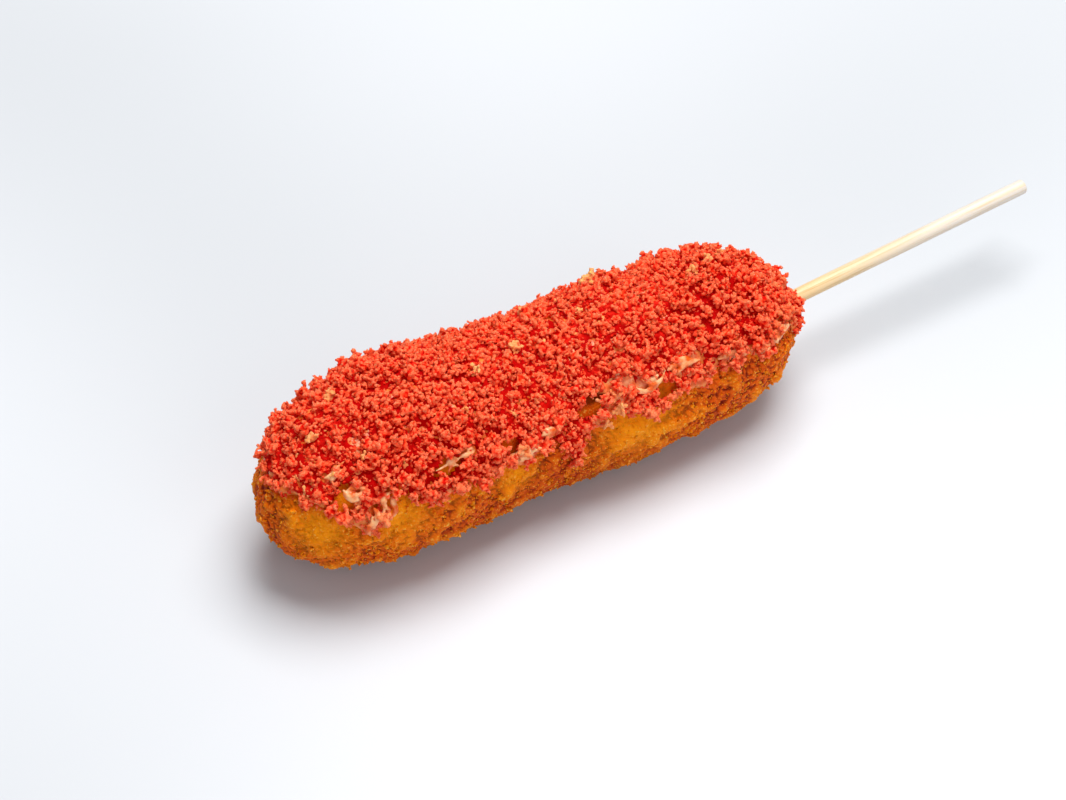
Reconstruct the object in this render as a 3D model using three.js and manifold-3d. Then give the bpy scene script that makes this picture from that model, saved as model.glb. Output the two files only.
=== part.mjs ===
// A crumb-coated corn dog on a bamboo stick, lying on its side.
// Millimetres, +Z up. X runs along the food from its free end to its stick end, and the origin is the
// middle of the small flat that the food rests on.
// Four solids: the fried batter, the sauce spread over its top, the coat of puffed crumbs that the
// sauce holds, and the stick, which runs deep into the batter.

import * as THREE from "three";
import { mergeVertices } from "three/addons/utils/BufferGeometryUtils.js";
import Module from "manifold-3d";

// Fried batter
const FOOD_LENGTH = 146;
// Radius of the round section: fat at the free end, with a slight waist in the middle.
const SECTION_RADII = [
  { x: -73, size: 23.8 },
  { x: -40, size: 23.2 },
  { x: -5, size: 20.9 },
  { x: 30, size: 21.3 },
  { x: 73, size: 22.5 },
];
const SIDE_BEND = 3.2; // how far both ends curve towards -Y, against the middle
const SIDE_BEND_BALANCE = 0.38; // share of the bend by which the middle stands off towards +Y
const END_SQUARENESS = 4; // 2 is an ellipsoid's end, more is blunter
const FLAT_SINK = 1.1; // what the resting flat cuts off the round underside
const FLOOR_Z = 0;
const CRUST_LUMP = 0.7; // height of the crust's broad lumps
const CRUST_LUMP_SIZE = 12;
const CRUST_CRAG = 1.4; // height of single crags
const CRUST_CRAG_SIZE = 3.4;
const CRUST_HIGHEST = 1.8;
const CRUST_PIT_SHARE = 0.5; // pits are this much shallower than crags are high
const CRUST_BARE_FROM = 1; // degrees outside the sauce's rim where the crags begin
const CRUST_BARE_FULLY = 12;
const PRESSED_FROM = 0.86; // how far round to the underside the crust is pressed smooth by its weight
const PRESSED_FULLY = 0.93;

// Sauce and crumb coat, measured outwards from the batter's mean surface
const SAUCE_UNDERSIDE = 0.6;
const SAUCE_TOP = 1.5;
const COAT_UNDERSIDE = 1.85;
// Height of the coat's top along the food: it is heaped highest a little before the stick.
const COAT_TOPS = [
  { x: -64, size: 2.9 },
  { x: -35, size: 3.9 },
  { x: 0, size: 3.1 },
  { x: 33, size: 2.9 },
  { x: 57, size: 5.2 },
  { x: 73, size: 3.2 },
];
const COAT_THINNEST = 2.6;
const COAT_END_TOP = 2.7; // height of the coat on the round ends' faces
const COAT_LUMP = 1.2;
const COAT_LUMP_SIZE = 5.5;
const COAT_GRIT = 0.6;
const COAT_GRIT_SIZE = 1;
const OUTSIDE_DEPTH = -1.6; // where a layer ends its skin dives below the batter's surface
const EDGE_SOFTNESS = 5; // degrees over which a layer's rim comes up to its full height

// Where the coat ends, in degrees of height round the food: 0 is level with its middle, 90 its top.
const COAT_EDGE = 26;
const EDGE_RAG = 3.2;
const EDGE_RAG_SIZE = 5;
const STICK_END_REACH = 27; // the coat comes down to the stick on the end it enters
const STICK_END_X = 72;
const STICK_END_WIDTH = 4.5;
const SAUCE_BEYOND_COAT = 1.5;

// Tongues of the coat (reach > 0 runs down, reach < 0 leaves the crust bare) on the near side, -Y.
const NEAR_TONGUES = [
  { x: -66, reach: -5, width: 4 },
  { x: -51, reach: 11, width: 4.5 },
  { x: -34, reach: 8, width: 5 },
  { x: -22, reach: 5, width: 5 },
  { x: 2, reach: 22, width: 3 },
  { x: 14, reach: -9, width: 5 },
  { x: 24, reach: 8, width: 5 },
  { x: 50, reach: -4, width: 9 },
];
// The same on the far side, +Y.
const FAR_TONGUES = [
  { x: -58, reach: 9, width: 6 },
  { x: -40, reach: -6, width: 6 },
  { x: -24, reach: 14, width: 3.5 },
  { x: -4, reach: 5, width: 7 },
  { x: 16, reach: 12, width: 5 },
  { x: 33, reach: -7, width: 6 },
  { x: 50, reach: 9, width: 6 },
];
// Lobes of sauce that run out from under the coat.
const NEAR_SAUCE_LOBES = [
  { x: -55, reach: 9, width: 4 },
  { x: -45, reach: 5, width: 3 },
  { x: -12, reach: 8, width: 4 },
  { x: 12, reach: 9, width: 5 },
  { x: 37, reach: 6, width: 4 },
  { x: 58, reach: 7, width: 5 },
];
const FAR_SAUCE_LOBES = [
  { x: -42, reach: 9, width: 5 },
  { x: -10, reach: 6, width: 4 },
  { x: 31, reach: 10, width: 5 },
];

// Crumbs large enough to show from a step away, fused to the coat
const CRUMB_COUNT = 120;
const CRUMB_RADIUS_LARGEST = 2.5;
const CRUMB_RADIUS_SMALLEST = 1.35;
const CRUMB_SINK = 0.25; // share of its radius that a crumb sits below the coat's skin
const CRUMB_MARGIN = 1; // degrees that a crumb's centre keeps inside the coat's rim
const CRUMB_SEED = 4127;
const CRUMB_NARROWEST = 0.8; // least and greatest stretch of a crumb along any of its axes
const CRUMB_WIDEST = 1.25;
const CRUMB_END_LIMIT = 0.99; // share of the half length that crumbs keep within
const CRUMB_STEP_ALONG = 0.754877666; // steps of the two-dimensional golden-ratio sequence
const CRUMB_STEP_ROUND = 0.569840291;

// Stick
const STICK_DIAMETER = 4;
const STICK_SHOWN = 77;
const STICK_BURIED = 92;
const STICK_EXIT = new THREE.Vector3(FOOD_LENGTH / 2, 0, 22); // where its axis leaves the food
const STICK_TURN = THREE.MathUtils.degToRad(3.0); // towards +Y
const STICK_RISE = THREE.MathUtils.degToRad(2.0);
const STICK_BEVEL = 0.5;
const STICK_SIDES = 18;
const FIT_GAP = 0.3;

// How finely the skins are cut
const STATIONS = 48;
const SIDES = 44;
const COARSENESS = 2; // the sauce and the coat's hidden underside take every second station and side
const OUTLINE_SAMPLES = 4000; // points along the food's outline when its stations are spaced out
const SIDE_BLEND = 0.3; // how wide the near side's edge blends into the far side's, over the top
const MERGE_DISTANCE = 1e-4;

// One seed for each kind of relief
const LUMP_SEED = 1;
const CRAG_SEED = 2;
const EDGE_SEED = 3;
const COAT_LUMP_SEED = 4;
const COAT_GRIT_SEED = 5;

const HALF_LENGTH = FOOD_LENGTH / 2;
const STICK_DIRECTION = new THREE.Vector3(
  Math.cos(STICK_RISE) * Math.cos(STICK_TURN),
  Math.cos(STICK_RISE) * Math.sin(STICK_TURN),
  Math.sin(STICK_RISE),
);

const wasm = await Module();
wasm.setup();

// ---------------------------------------------------------------- random draws and noise

// A seeded source of numbers from 0 to 1.
function randomFrom(seed) {
  let state = seed >>> 0;
  return () => {
    state = (state + 0x6d2b79f5) >>> 0;
    let mixed = Math.imul(state ^ (state >>> 15), state | 1);
    mixed ^= mixed + Math.imul(mixed ^ (mixed >>> 7), mixed | 61);
    return ((mixed ^ (mixed >>> 14)) >>> 0) / 4294967296;
  };
}

// A fixed number from -1 to 1 for each point of a whole-number lattice.
function latticeValue(ix, iy, iz, seed) {
  const mixed = Math.imul(ix, 374761393) ^ Math.imul(iy, 668265263) ^ Math.imul(iz, 1274126177);
  return 2 * randomFrom(mixed ^ Math.imul(seed, 40503))() - 1;
}

// Smooth noise from -1 to 1 whose lumps are about `size` across.
function noise(point, size, seed) {
  const x = point.x / size;
  const y = point.y / size;
  const z = point.z / size;
  const ix = Math.floor(x);
  const iy = Math.floor(y);
  const iz = Math.floor(z);
  const fx = THREE.MathUtils.smoothstep(x - ix, 0, 1);
  const fy = THREE.MathUtils.smoothstep(y - iy, 0, 1);
  const fz = THREE.MathUtils.smoothstep(z - iz, 0, 1);
  let sum = 0;
  for (let corner = 0; corner < 8; corner += 1) {
    const dx = corner & 1;
    const dy = (corner >> 1) & 1;
    const dz = corner >> 2;
    const weight = (dx ? fx : 1 - fx) * (dy ? fy : 1 - fy) * (dz ? fz : 1 - fz);
    sum += weight * latticeValue(ix + dx, iy + dy, iz + dz, seed);
  }
  return sum;
}

// ---------------------------------------------------------------- the food's mean surface

// A size that eases from each control to the next along the food.
function sizeAt(x, controls) {
  const next = controls.findIndex((control) => control.x > x);
  if (next === 0) return controls[0].size;
  if (next < 0) return controls[controls.length - 1].size;
  const from = controls[next - 1];
  const to = controls[next];
  return THREE.MathUtils.lerp(from.size, to.size, THREE.MathUtils.smoothstep(x, from.x, to.x));
}

// Radius of the food's round section; u runs from -1 at the free end to 1 at the stick end.
function radiusAt(u) {
  return sizeAt(u * HALF_LENGTH, SECTION_RADII);
}

// The food's middle line is bowed a little to one side.
function middleY(u) {
  return SIDE_BEND * (SIDE_BEND_BALANCE - u * u);
}

// How far a section is drawn in by the rounding of the ends, from 1 in the middle to 0 at the tips.
function endRounding(u) {
  return Math.sqrt(Math.max(0, 1 - Math.abs(u) ** END_SQUARENESS));
}

// A point `height` outside the mean surface, at station u and an angle turned from +Y towards +Z.
function skinPoint(u, angle, height) {
  const radius = radiusAt(u);
  const across = radius * endRounding(u);
  const point = new THREE.Vector3(
    u * HALF_LENGTH,
    middleY(u) + across * Math.cos(angle),
    radius - FLAT_SINK + across * Math.sin(angle),
  );
  const outwards = new THREE.Vector3(
    (END_SQUARENESS * Math.sign(u) * Math.abs(u) ** (END_SQUARENESS - 1)) / HALF_LENGTH,
    (2 * across * Math.cos(angle)) / radius ** 2,
    (2 * across * Math.sin(angle)) / radius ** 2,
  ).normalize();
  return point.addScaledVector(outwards, height);
}

// Height round the food in degrees: 0 level with its middle line, 90 at the top of a full section.
function elevationAt(u, angle) {
  return THREE.MathUtils.radToDeg(Math.asin(endRounding(u) * Math.sin(angle)));
}

// Stations spaced evenly along the food's side outline, tips included.
function evenStations(count) {
  const samples = OUTLINE_SAMPLES;
  const lengths = [0];
  let last = skinPoint(-1, 0, 0);
  for (let i = 1; i <= samples; i += 1) {
    const next = skinPoint((2 * i) / samples - 1, 0, 0);
    lengths.push(lengths[i - 1] + next.distanceTo(last));
    last = next;
  }
  const stations = [];
  let i = 0;
  for (let k = 0; k <= count; k += 1) {
    const wanted = (lengths[samples] * k) / count;
    while (i < samples && lengths[i] < wanted) i += 1;
    stations.push((2 * i) / samples - 1);
  }
  return stations;
}

const FINE_STATIONS = evenStations(STATIONS);

// ---------------------------------------------------------------- edges and heights of the layers

// A bump of height 1 at 0 that fades out over `width`.
function bump(distance, width) {
  return Math.exp(-((distance / width) ** 2));
}

// The two sides' own lists of tongues, added up and blended over the top of the food.
function tonguesAt(x, angle, nearTongues, farTongues) {
  const reachOf = (tongues) => tongues.reduce((sum, t) => sum + t.reach * bump(x - t.x, t.width), 0);
  const far = THREE.MathUtils.smoothstep(Math.cos(angle), -SIDE_BLEND, SIDE_BLEND);
  return THREE.MathUtils.lerp(reachOf(nearTongues), reachOf(farTongues), far);
}

// Degrees inside the coat's rim: positive under the coat, negative on bare crust.
function coatMargin(u, angle) {
  const point = skinPoint(u, angle, 0);
  const tongues = tonguesAt(point.x, angle, NEAR_TONGUES, FAR_TONGUES);
  const stickEnd = STICK_END_REACH * bump(Math.min(0, point.x - STICK_END_X), STICK_END_WIDTH);
  const rag = EDGE_RAG * noise(point, EDGE_RAG_SIZE, EDGE_SEED);
  return elevationAt(u, angle) - COAT_EDGE + tongues + stickEnd + rag;
}

// Degrees inside the sauce's rim.
function sauceMargin(u, angle) {
  const lobes = tonguesAt(u * HALF_LENGTH, angle, NEAR_SAUCE_LOBES, FAR_SAUCE_LOBES);
  return coatMargin(u, angle) + SAUCE_BEYOND_COAT + lobes;
}

// A layer's height: its full height inside the rim, and below the batter's surface outside it.
function layerHeight(margin, fullHeight) {
  const inside = THREE.MathUtils.smoothstep(margin, -EDGE_SOFTNESS, 0);
  return THREE.MathUtils.lerp(OUTSIDE_DEPTH, fullHeight, inside);
}

// Relief of the crust, which lies smooth where sauce covers it.
function crustRelief(u, angle) {
  const point = skinPoint(u, angle, 0);
  const lumps = CRUST_LUMP * noise(point, CRUST_LUMP_SIZE, LUMP_SEED);
  const crags = CRUST_CRAG * noise(point, CRUST_CRAG_SIZE, CRAG_SEED);
  const relief = Math.min(CRUST_HIGHEST, lumps + crags);
  const bare = THREE.MathUtils.smoothstep(-sauceMargin(u, angle), CRUST_BARE_FROM, CRUST_BARE_FULLY);
  const loose = 1 - THREE.MathUtils.smoothstep(-Math.sin(angle), PRESSED_FROM, PRESSED_FULLY);
  return loose * (relief > 0 ? relief * bare : relief * CRUST_PIT_SHARE);
}

function coatHeight(u, angle) {
  const point = skinPoint(u, angle, 0);
  const top = THREE.MathUtils.lerp(COAT_END_TOP, sizeAt(point.x, COAT_TOPS), endRounding(u));
  const lumps = COAT_LUMP * noise(point, COAT_LUMP_SIZE, COAT_LUMP_SEED);
  const grit = COAT_GRIT * noise(point, COAT_GRIT_SIZE, COAT_GRIT_SEED);
  return layerHeight(coatMargin(u, angle), Math.max(COAT_THINNEST, top + lumps + grit));
}

// ---------------------------------------------------------------- solids

// The closed skin of a body round the food's axis, with `heightAt` outside the mean surface.
function closedSkin(stations, sides, heightAt) {
  const positions = [];
  const indices = [];
  const addPoint = (u, angle, height) => {
    const point = skinPoint(u, angle, height);
    positions.push(point.x, point.y, Math.max(FLOOR_Z, point.z));
  };
  const rings = stations.length - 2;
  addPoint(-1, 0, heightAt(-1, 0));
  for (let ring = 1; ring <= rings; ring += 1) {
    for (let side = 0; side < sides; side += 1) {
      const angle = (2 * Math.PI * side) / sides;
      addPoint(stations[ring], angle, heightAt(stations[ring], angle));
    }
  }
  addPoint(1, 0, heightAt(1, 0));
  const lastPoint = rings * sides + 1;
  const at = (ring, side) => 1 + (ring - 1) * sides + (side % sides);
  for (let side = 0; side < sides; side += 1) {
    indices.push(0, at(1, side + 1), at(1, side));
    indices.push(lastPoint, at(rings, side), at(rings, side + 1));
    for (let ring = 1; ring < rings; ring += 1) {
      indices.push(at(ring, side), at(ring, side + 1), at(ring + 1, side + 1));
      indices.push(at(ring, side), at(ring + 1, side + 1), at(ring + 1, side));
    }
  }
  const geometry = new THREE.BufferGeometry();
  geometry.setAttribute("position", new THREE.Float32BufferAttribute(positions, 3));
  geometry.setIndex(indices);
  return geometry;
}

function toSolid(geometry) {
  const bare = geometry.clone();
  bare.deleteAttribute("normal");
  bare.deleteAttribute("uv");
  const merged = mergeVertices(bare, MERGE_DISTANCE);
  return new wasm.Manifold(
    new wasm.Mesh({
      numProp: 3,
      vertProperties: new Float32Array(merged.getAttribute("position").array),
      triVerts: new Uint32Array(merged.getIndex().array),
    }),
  );
}

function toGeometry(solid) {
  const mesh = solid.getMesh();
  const geometry = new THREE.BufferGeometry();
  geometry.setAttribute("position", new THREE.Float32BufferAttribute(mesh.vertProperties, 3));
  geometry.setIndex(new THREE.Uint32BufferAttribute(mesh.triVerts, 1));
  const flat = geometry.toNonIndexed();
  flat.computeVertexNormals();
  return flat;
}

// The largest body of a solid, without the scraps that a cut can leave beside it.
function largestBody(solid) {
  return solid.decompose().reduce((best, body) => (body.volume() > best.volume() ? body : best));
}

const coarseStations = FINE_STATIONS.filter((_, i) => i % COARSENESS === 0);
const coarseSides = SIDES / COARSENESS;

function coarseSkin(heightAt) {
  return toSolid(closedSkin(coarseStations, coarseSides, heightAt));
}

// A round rod along the stick's line, from `start` to `end` measured from where it enters the food.
function stickRod(radius, start, end, bevel) {
  const profile = [
    new THREE.Vector2(0, start),
    new THREE.Vector2(radius, start),
    new THREE.Vector2(radius, end - bevel),
    new THREE.Vector2(radius - bevel, end),
    new THREE.Vector2(0, end),
  ];
  const rod = new THREE.LatheGeometry(profile, STICK_SIDES);
  const turn = new THREE.Quaternion().setFromUnitVectors(new THREE.Vector3(0, 1, 0), STICK_DIRECTION);
  return rod.applyQuaternion(turn).translate(STICK_EXIT.x, STICK_EXIT.y, STICK_EXIT.z);
}

// Crumbs spread evenly over the coat by golden-ratio steps, the largest first.
function crumbSolids() {
  const random = randomFrom(CRUMB_SEED);
  const stretch = () => THREE.MathUtils.lerp(CRUMB_NARROWEST, CRUMB_WIDEST, random());
  const crumbs = [];
  for (let draw = 0; crumbs.length < CRUMB_COUNT; draw += 1) {
    const u = CRUMB_END_LIMIT * (2 * ((0.5 + draw * CRUMB_STEP_ALONG) % 1) - 1);
    const angle = Math.PI * ((0.5 + draw * CRUMB_STEP_ROUND) % 1);
    if (coatMargin(u, angle) < CRUMB_MARGIN) continue;
    const share = crumbs.length / CRUMB_COUNT;
    const radius = THREE.MathUtils.lerp(CRUMB_RADIUS_LARGEST, CRUMB_RADIUS_SMALLEST, share);
    const crumb = new THREE.IcosahedronGeometry(radius, 0);
    crumb.rotateX(random() * Math.PI).rotateZ(random() * Math.PI);
    crumb.scale(stretch(), stretch(), stretch());
    crumb.rotateX(random() * Math.PI).rotateZ(random() * Math.PI);
    const place = skinPoint(u, angle, coatHeight(u, angle) - CRUMB_SINK * radius);
    crumbs.push(toSolid(crumb.translate(place.x, place.y, place.z)));
  }
  return crumbs;
}

const stickBore = toSolid(stickRod(STICK_DIAMETER / 2 + FIT_GAP, -STICK_BURIED - FIT_GAP, STICK_SHOWN, 0));

function makeBatter() {
  const skin = toSolid(closedSkin(FINE_STATIONS, SIDES, crustRelief));
  return largestBody(skin.subtract(stickBore));
}

function makeSauce() {
  const outer = coarseSkin((u, angle) => layerHeight(sauceMargin(u, angle), SAUCE_TOP));
  const inner = coarseSkin(() => SAUCE_UNDERSIDE);
  return largestBody(outer.subtract(inner).subtract(stickBore));
}

function makeCoat() {
  const skin = toSolid(closedSkin(FINE_STATIONS, SIDES, coatHeight));
  const outer = wasm.Manifold.union([skin, ...crumbSolids()]);
  const inner = coarseSkin(() => COAT_UNDERSIDE);
  return largestBody(outer.subtract(inner).subtract(stickBore));
}

// ---------------------------------------------------------------- the object

function addPart(group, name, geometry, colour, roughness) {
  const material = new THREE.MeshStandardMaterial({ color: colour, roughness, metalness: 0, flatShading: true });
  const mesh = new THREE.Mesh(geometry, material);
  mesh.name = name;
  group.add(mesh);
}

const cornDog = new THREE.Group();
addPart(cornDog, "fried_batter", toGeometry(makeBatter()), 0xc27a22, 0.6);
addPart(cornDog, "sauce", toGeometry(makeSauce()), 0xf2c8a6, 0.35);
addPart(cornDog, "crumb_coat", toGeometry(makeCoat()), 0xf2553a, 0.7);
addPart(cornDog, "stick", stickRod(STICK_DIAMETER / 2, -STICK_BURIED, STICK_SHOWN, STICK_BEVEL), 0xf0d9ae, 0.55);

export default cornDog;
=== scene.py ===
"""Looks of a crumb-coated corn dog on a bamboo stick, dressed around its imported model.

Metres, +Z up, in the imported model's frame: X runs along the food from its free end to its stick end, and
the food rests on the plane z = 0. Every skin is worked out from the same form as the solids: a round
section that is fat at the free end, a coat that ends in tongues part of the way down both sides, and sauce
that runs out from under it.
"""

import logging
import math
from dataclasses import dataclass
from enum import Enum
from itertools import product
from typing import Callable, Union

import bmesh
import bpy
import numpy as np
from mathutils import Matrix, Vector

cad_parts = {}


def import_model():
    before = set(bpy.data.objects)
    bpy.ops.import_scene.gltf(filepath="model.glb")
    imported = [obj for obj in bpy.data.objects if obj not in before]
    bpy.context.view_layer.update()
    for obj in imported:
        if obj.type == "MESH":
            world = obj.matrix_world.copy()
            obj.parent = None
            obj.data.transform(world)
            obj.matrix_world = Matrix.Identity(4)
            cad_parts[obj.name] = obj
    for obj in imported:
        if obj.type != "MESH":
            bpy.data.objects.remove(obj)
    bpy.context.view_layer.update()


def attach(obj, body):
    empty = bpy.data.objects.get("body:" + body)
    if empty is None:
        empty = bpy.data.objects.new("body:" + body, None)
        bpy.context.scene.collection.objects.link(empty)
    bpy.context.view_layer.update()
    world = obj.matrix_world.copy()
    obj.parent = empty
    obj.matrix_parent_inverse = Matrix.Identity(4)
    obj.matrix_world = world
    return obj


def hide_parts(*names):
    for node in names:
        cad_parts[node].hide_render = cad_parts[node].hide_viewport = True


logging.basicConfig(level=logging.INFO, format="%(message)s")
LOG = logging.getLogger("corn_dog")

MM = 0.001
ROOT_BODY = "root"

Array = np.ndarray
Range = tuple[float, float]
Profile = tuple[tuple[float, float], ...]
Colour = tuple[float, float, float]
PlaceToValue = Callable[[Array, Array], Array]


# ------------------------------------------------------------------------------------------ noise

LOW_32_BITS = 0xFFFFFFFF
LATTICE_FACTORS = (374761393, 668265263, 1274126177)
SEED_FACTOR = 40503
STATE_STEP = 0x6D2B79F5
GRAIN_JITTER = 0.42
FAR_AWAY = 9.0


class Seed(Enum):
    """The noise field behind each kind of relief; the first four are the ones that the solids have too."""

    LUMP = 1
    CRAG = 2
    EDGE = 3
    COAT_LUMP = 4
    CRUST_GRAIN = 31
    CRUST_GRIT = 37
    SAUCE_TOP = 41
    SAUCE_RUNS = 42
    SPOT_EDGE = 45
    HOLLOW = 51
    SMALL_HOLLOW = 52
    COARSE_GRAIN = 53
    FINE_GRAIN = 54
    COAT_GRIT = 55
    FIBRE = 61


def lattice_value(ix: Array, iy: Array, iz: Array, seed: int) -> Array:
    """A fixed number from -1 to 1 for each point of a whole-number lattice, as the solids use.

    Args:
        ix: Lattice places along X.
        iy: Lattice places along Y.
        iz: Lattice places along Z.
        seed: Picks one of many independent lattices.

    Returns:
        One number for each place.
    """
    mask = np.int64(LOW_32_BITS)

    def multiplied(values: Array, factor: int) -> Array:
        """The low 32 bits of a product, unsigned."""
        return ((values.astype(np.int64) & mask).astype(np.uint64) * np.uint64(factor)).astype(np.uint32)

    mixed_x, mixed_y, mixed_z = map(multiplied, (ix, iy, iz), LATTICE_FACTORS)
    seeded = mixed_x ^ mixed_y ^ mixed_z ^ np.uint32((seed * SEED_FACTOR) & LOW_32_BITS)
    state = seeded + np.uint32(STATE_STEP)
    mixed = (state ^ (state >> np.uint32(15))) * (state | np.uint32(1))
    mixed = mixed ^ (mixed + (mixed ^ (mixed >> np.uint32(7))) * (mixed | np.uint32(61)))
    return 2.0 * ((mixed ^ (mixed >> np.uint32(14))).astype(np.float64) / (LOW_32_BITS + 1.0)) - 1.0


def smoothstep(values: Array, low: float, high: float) -> Array:
    """Eases from 0 at low to 1 at high.

    Args:
        values: Numbers to ease.
        low: Where the result leaves 0.
        high: Where the result reaches 1.

    Returns:
        Numbers from 0 to 1.
    """
    share = np.clip((np.asarray(values, float) - low) / (high - low), 0.0, 1.0)
    return share * share * (3.0 - 2.0 * share)


def noise(points: Array, size: float, seed: Seed) -> Array:
    """Smooth noise from -1 to 1 whose lumps are about `size` across.

    Args:
        points: Places, one per row.
        size: Width of a lump, in metres.
        seed: Picks the noise field.

    Returns:
        One number for each point.
    """
    cell = points / size
    low = np.floor(cell).astype(np.int64)
    share = cell - low
    share = share * share * (3.0 - 2.0 * share)
    total = np.zeros(points.shape[:-1])
    for corner in range(8):
        step = np.array([corner & 1, (corner >> 1) & 1, corner >> 2])
        weight = np.prod(np.where(step == 1, share, 1.0 - share), axis=-1)
        place = low + step
        total += weight * lattice_value(place[..., 0], place[..., 1], place[..., 2], seed.value)
    return total


def cell_domes(points: Array, size: float, seed: Seed, fill: float = 0.62) -> Array:
    """Rounded grains packed in space: 1 at the middle of a grain and 0 between grains.

    Args:
        points: Places, one per row.
        size: Spacing of the grains, in metres.
        seed: Picks the pattern.
        fill: Radius of a grain as a share of the spacing.

    Returns:
        The height of the grain over each point, from 0 to 1.
    """
    cell = points / size
    low = np.floor(cell).astype(np.int64)
    nearest = np.full(points.shape[:-1], FAR_AWAY)
    for step in product((-1, 0, 1), repeat=3):
        place = low + np.array(step)
        corner = np.moveaxis(place, -1, 0)
        jitter = [0.5 + GRAIN_JITTER * lattice_value(*corner, seed.value + axis) for axis in range(3)]
        offset = cell - (place + np.stack(jitter, axis=-1))
        nearest = np.minimum(nearest, np.sum(offset * offset, axis=-1))
    return np.sqrt(np.clip(1.0 - nearest / fill**2, 0.0, 1.0))


# ------------------------------------------------------------------------------------------ form


@dataclass(frozen=True)
class Tongue:
    """A place where the edge of a layer runs further down the side, or stays higher up.

    Attributes:
        x: Place along the food, in metres.
        reach: Degrees round the food that the edge runs down; below 0 it stays up.
        width: Half width of the tongue, in metres.
    """

    x: float
    reach: float
    width: float


def tongues(*rows: tuple[float, float, float]) -> tuple[Tongue, ...]:
    """Tongues from rows of x in millimetres, reach in degrees and width in millimetres."""
    return tuple(Tongue(x * MM, reach, width * MM) for x, reach, width in rows)


def bump(distance: Array, width: float) -> Array:
    """A bump of height 1 at 0 that fades out over `width`."""
    return np.exp(-((distance / width) ** 2))


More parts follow.
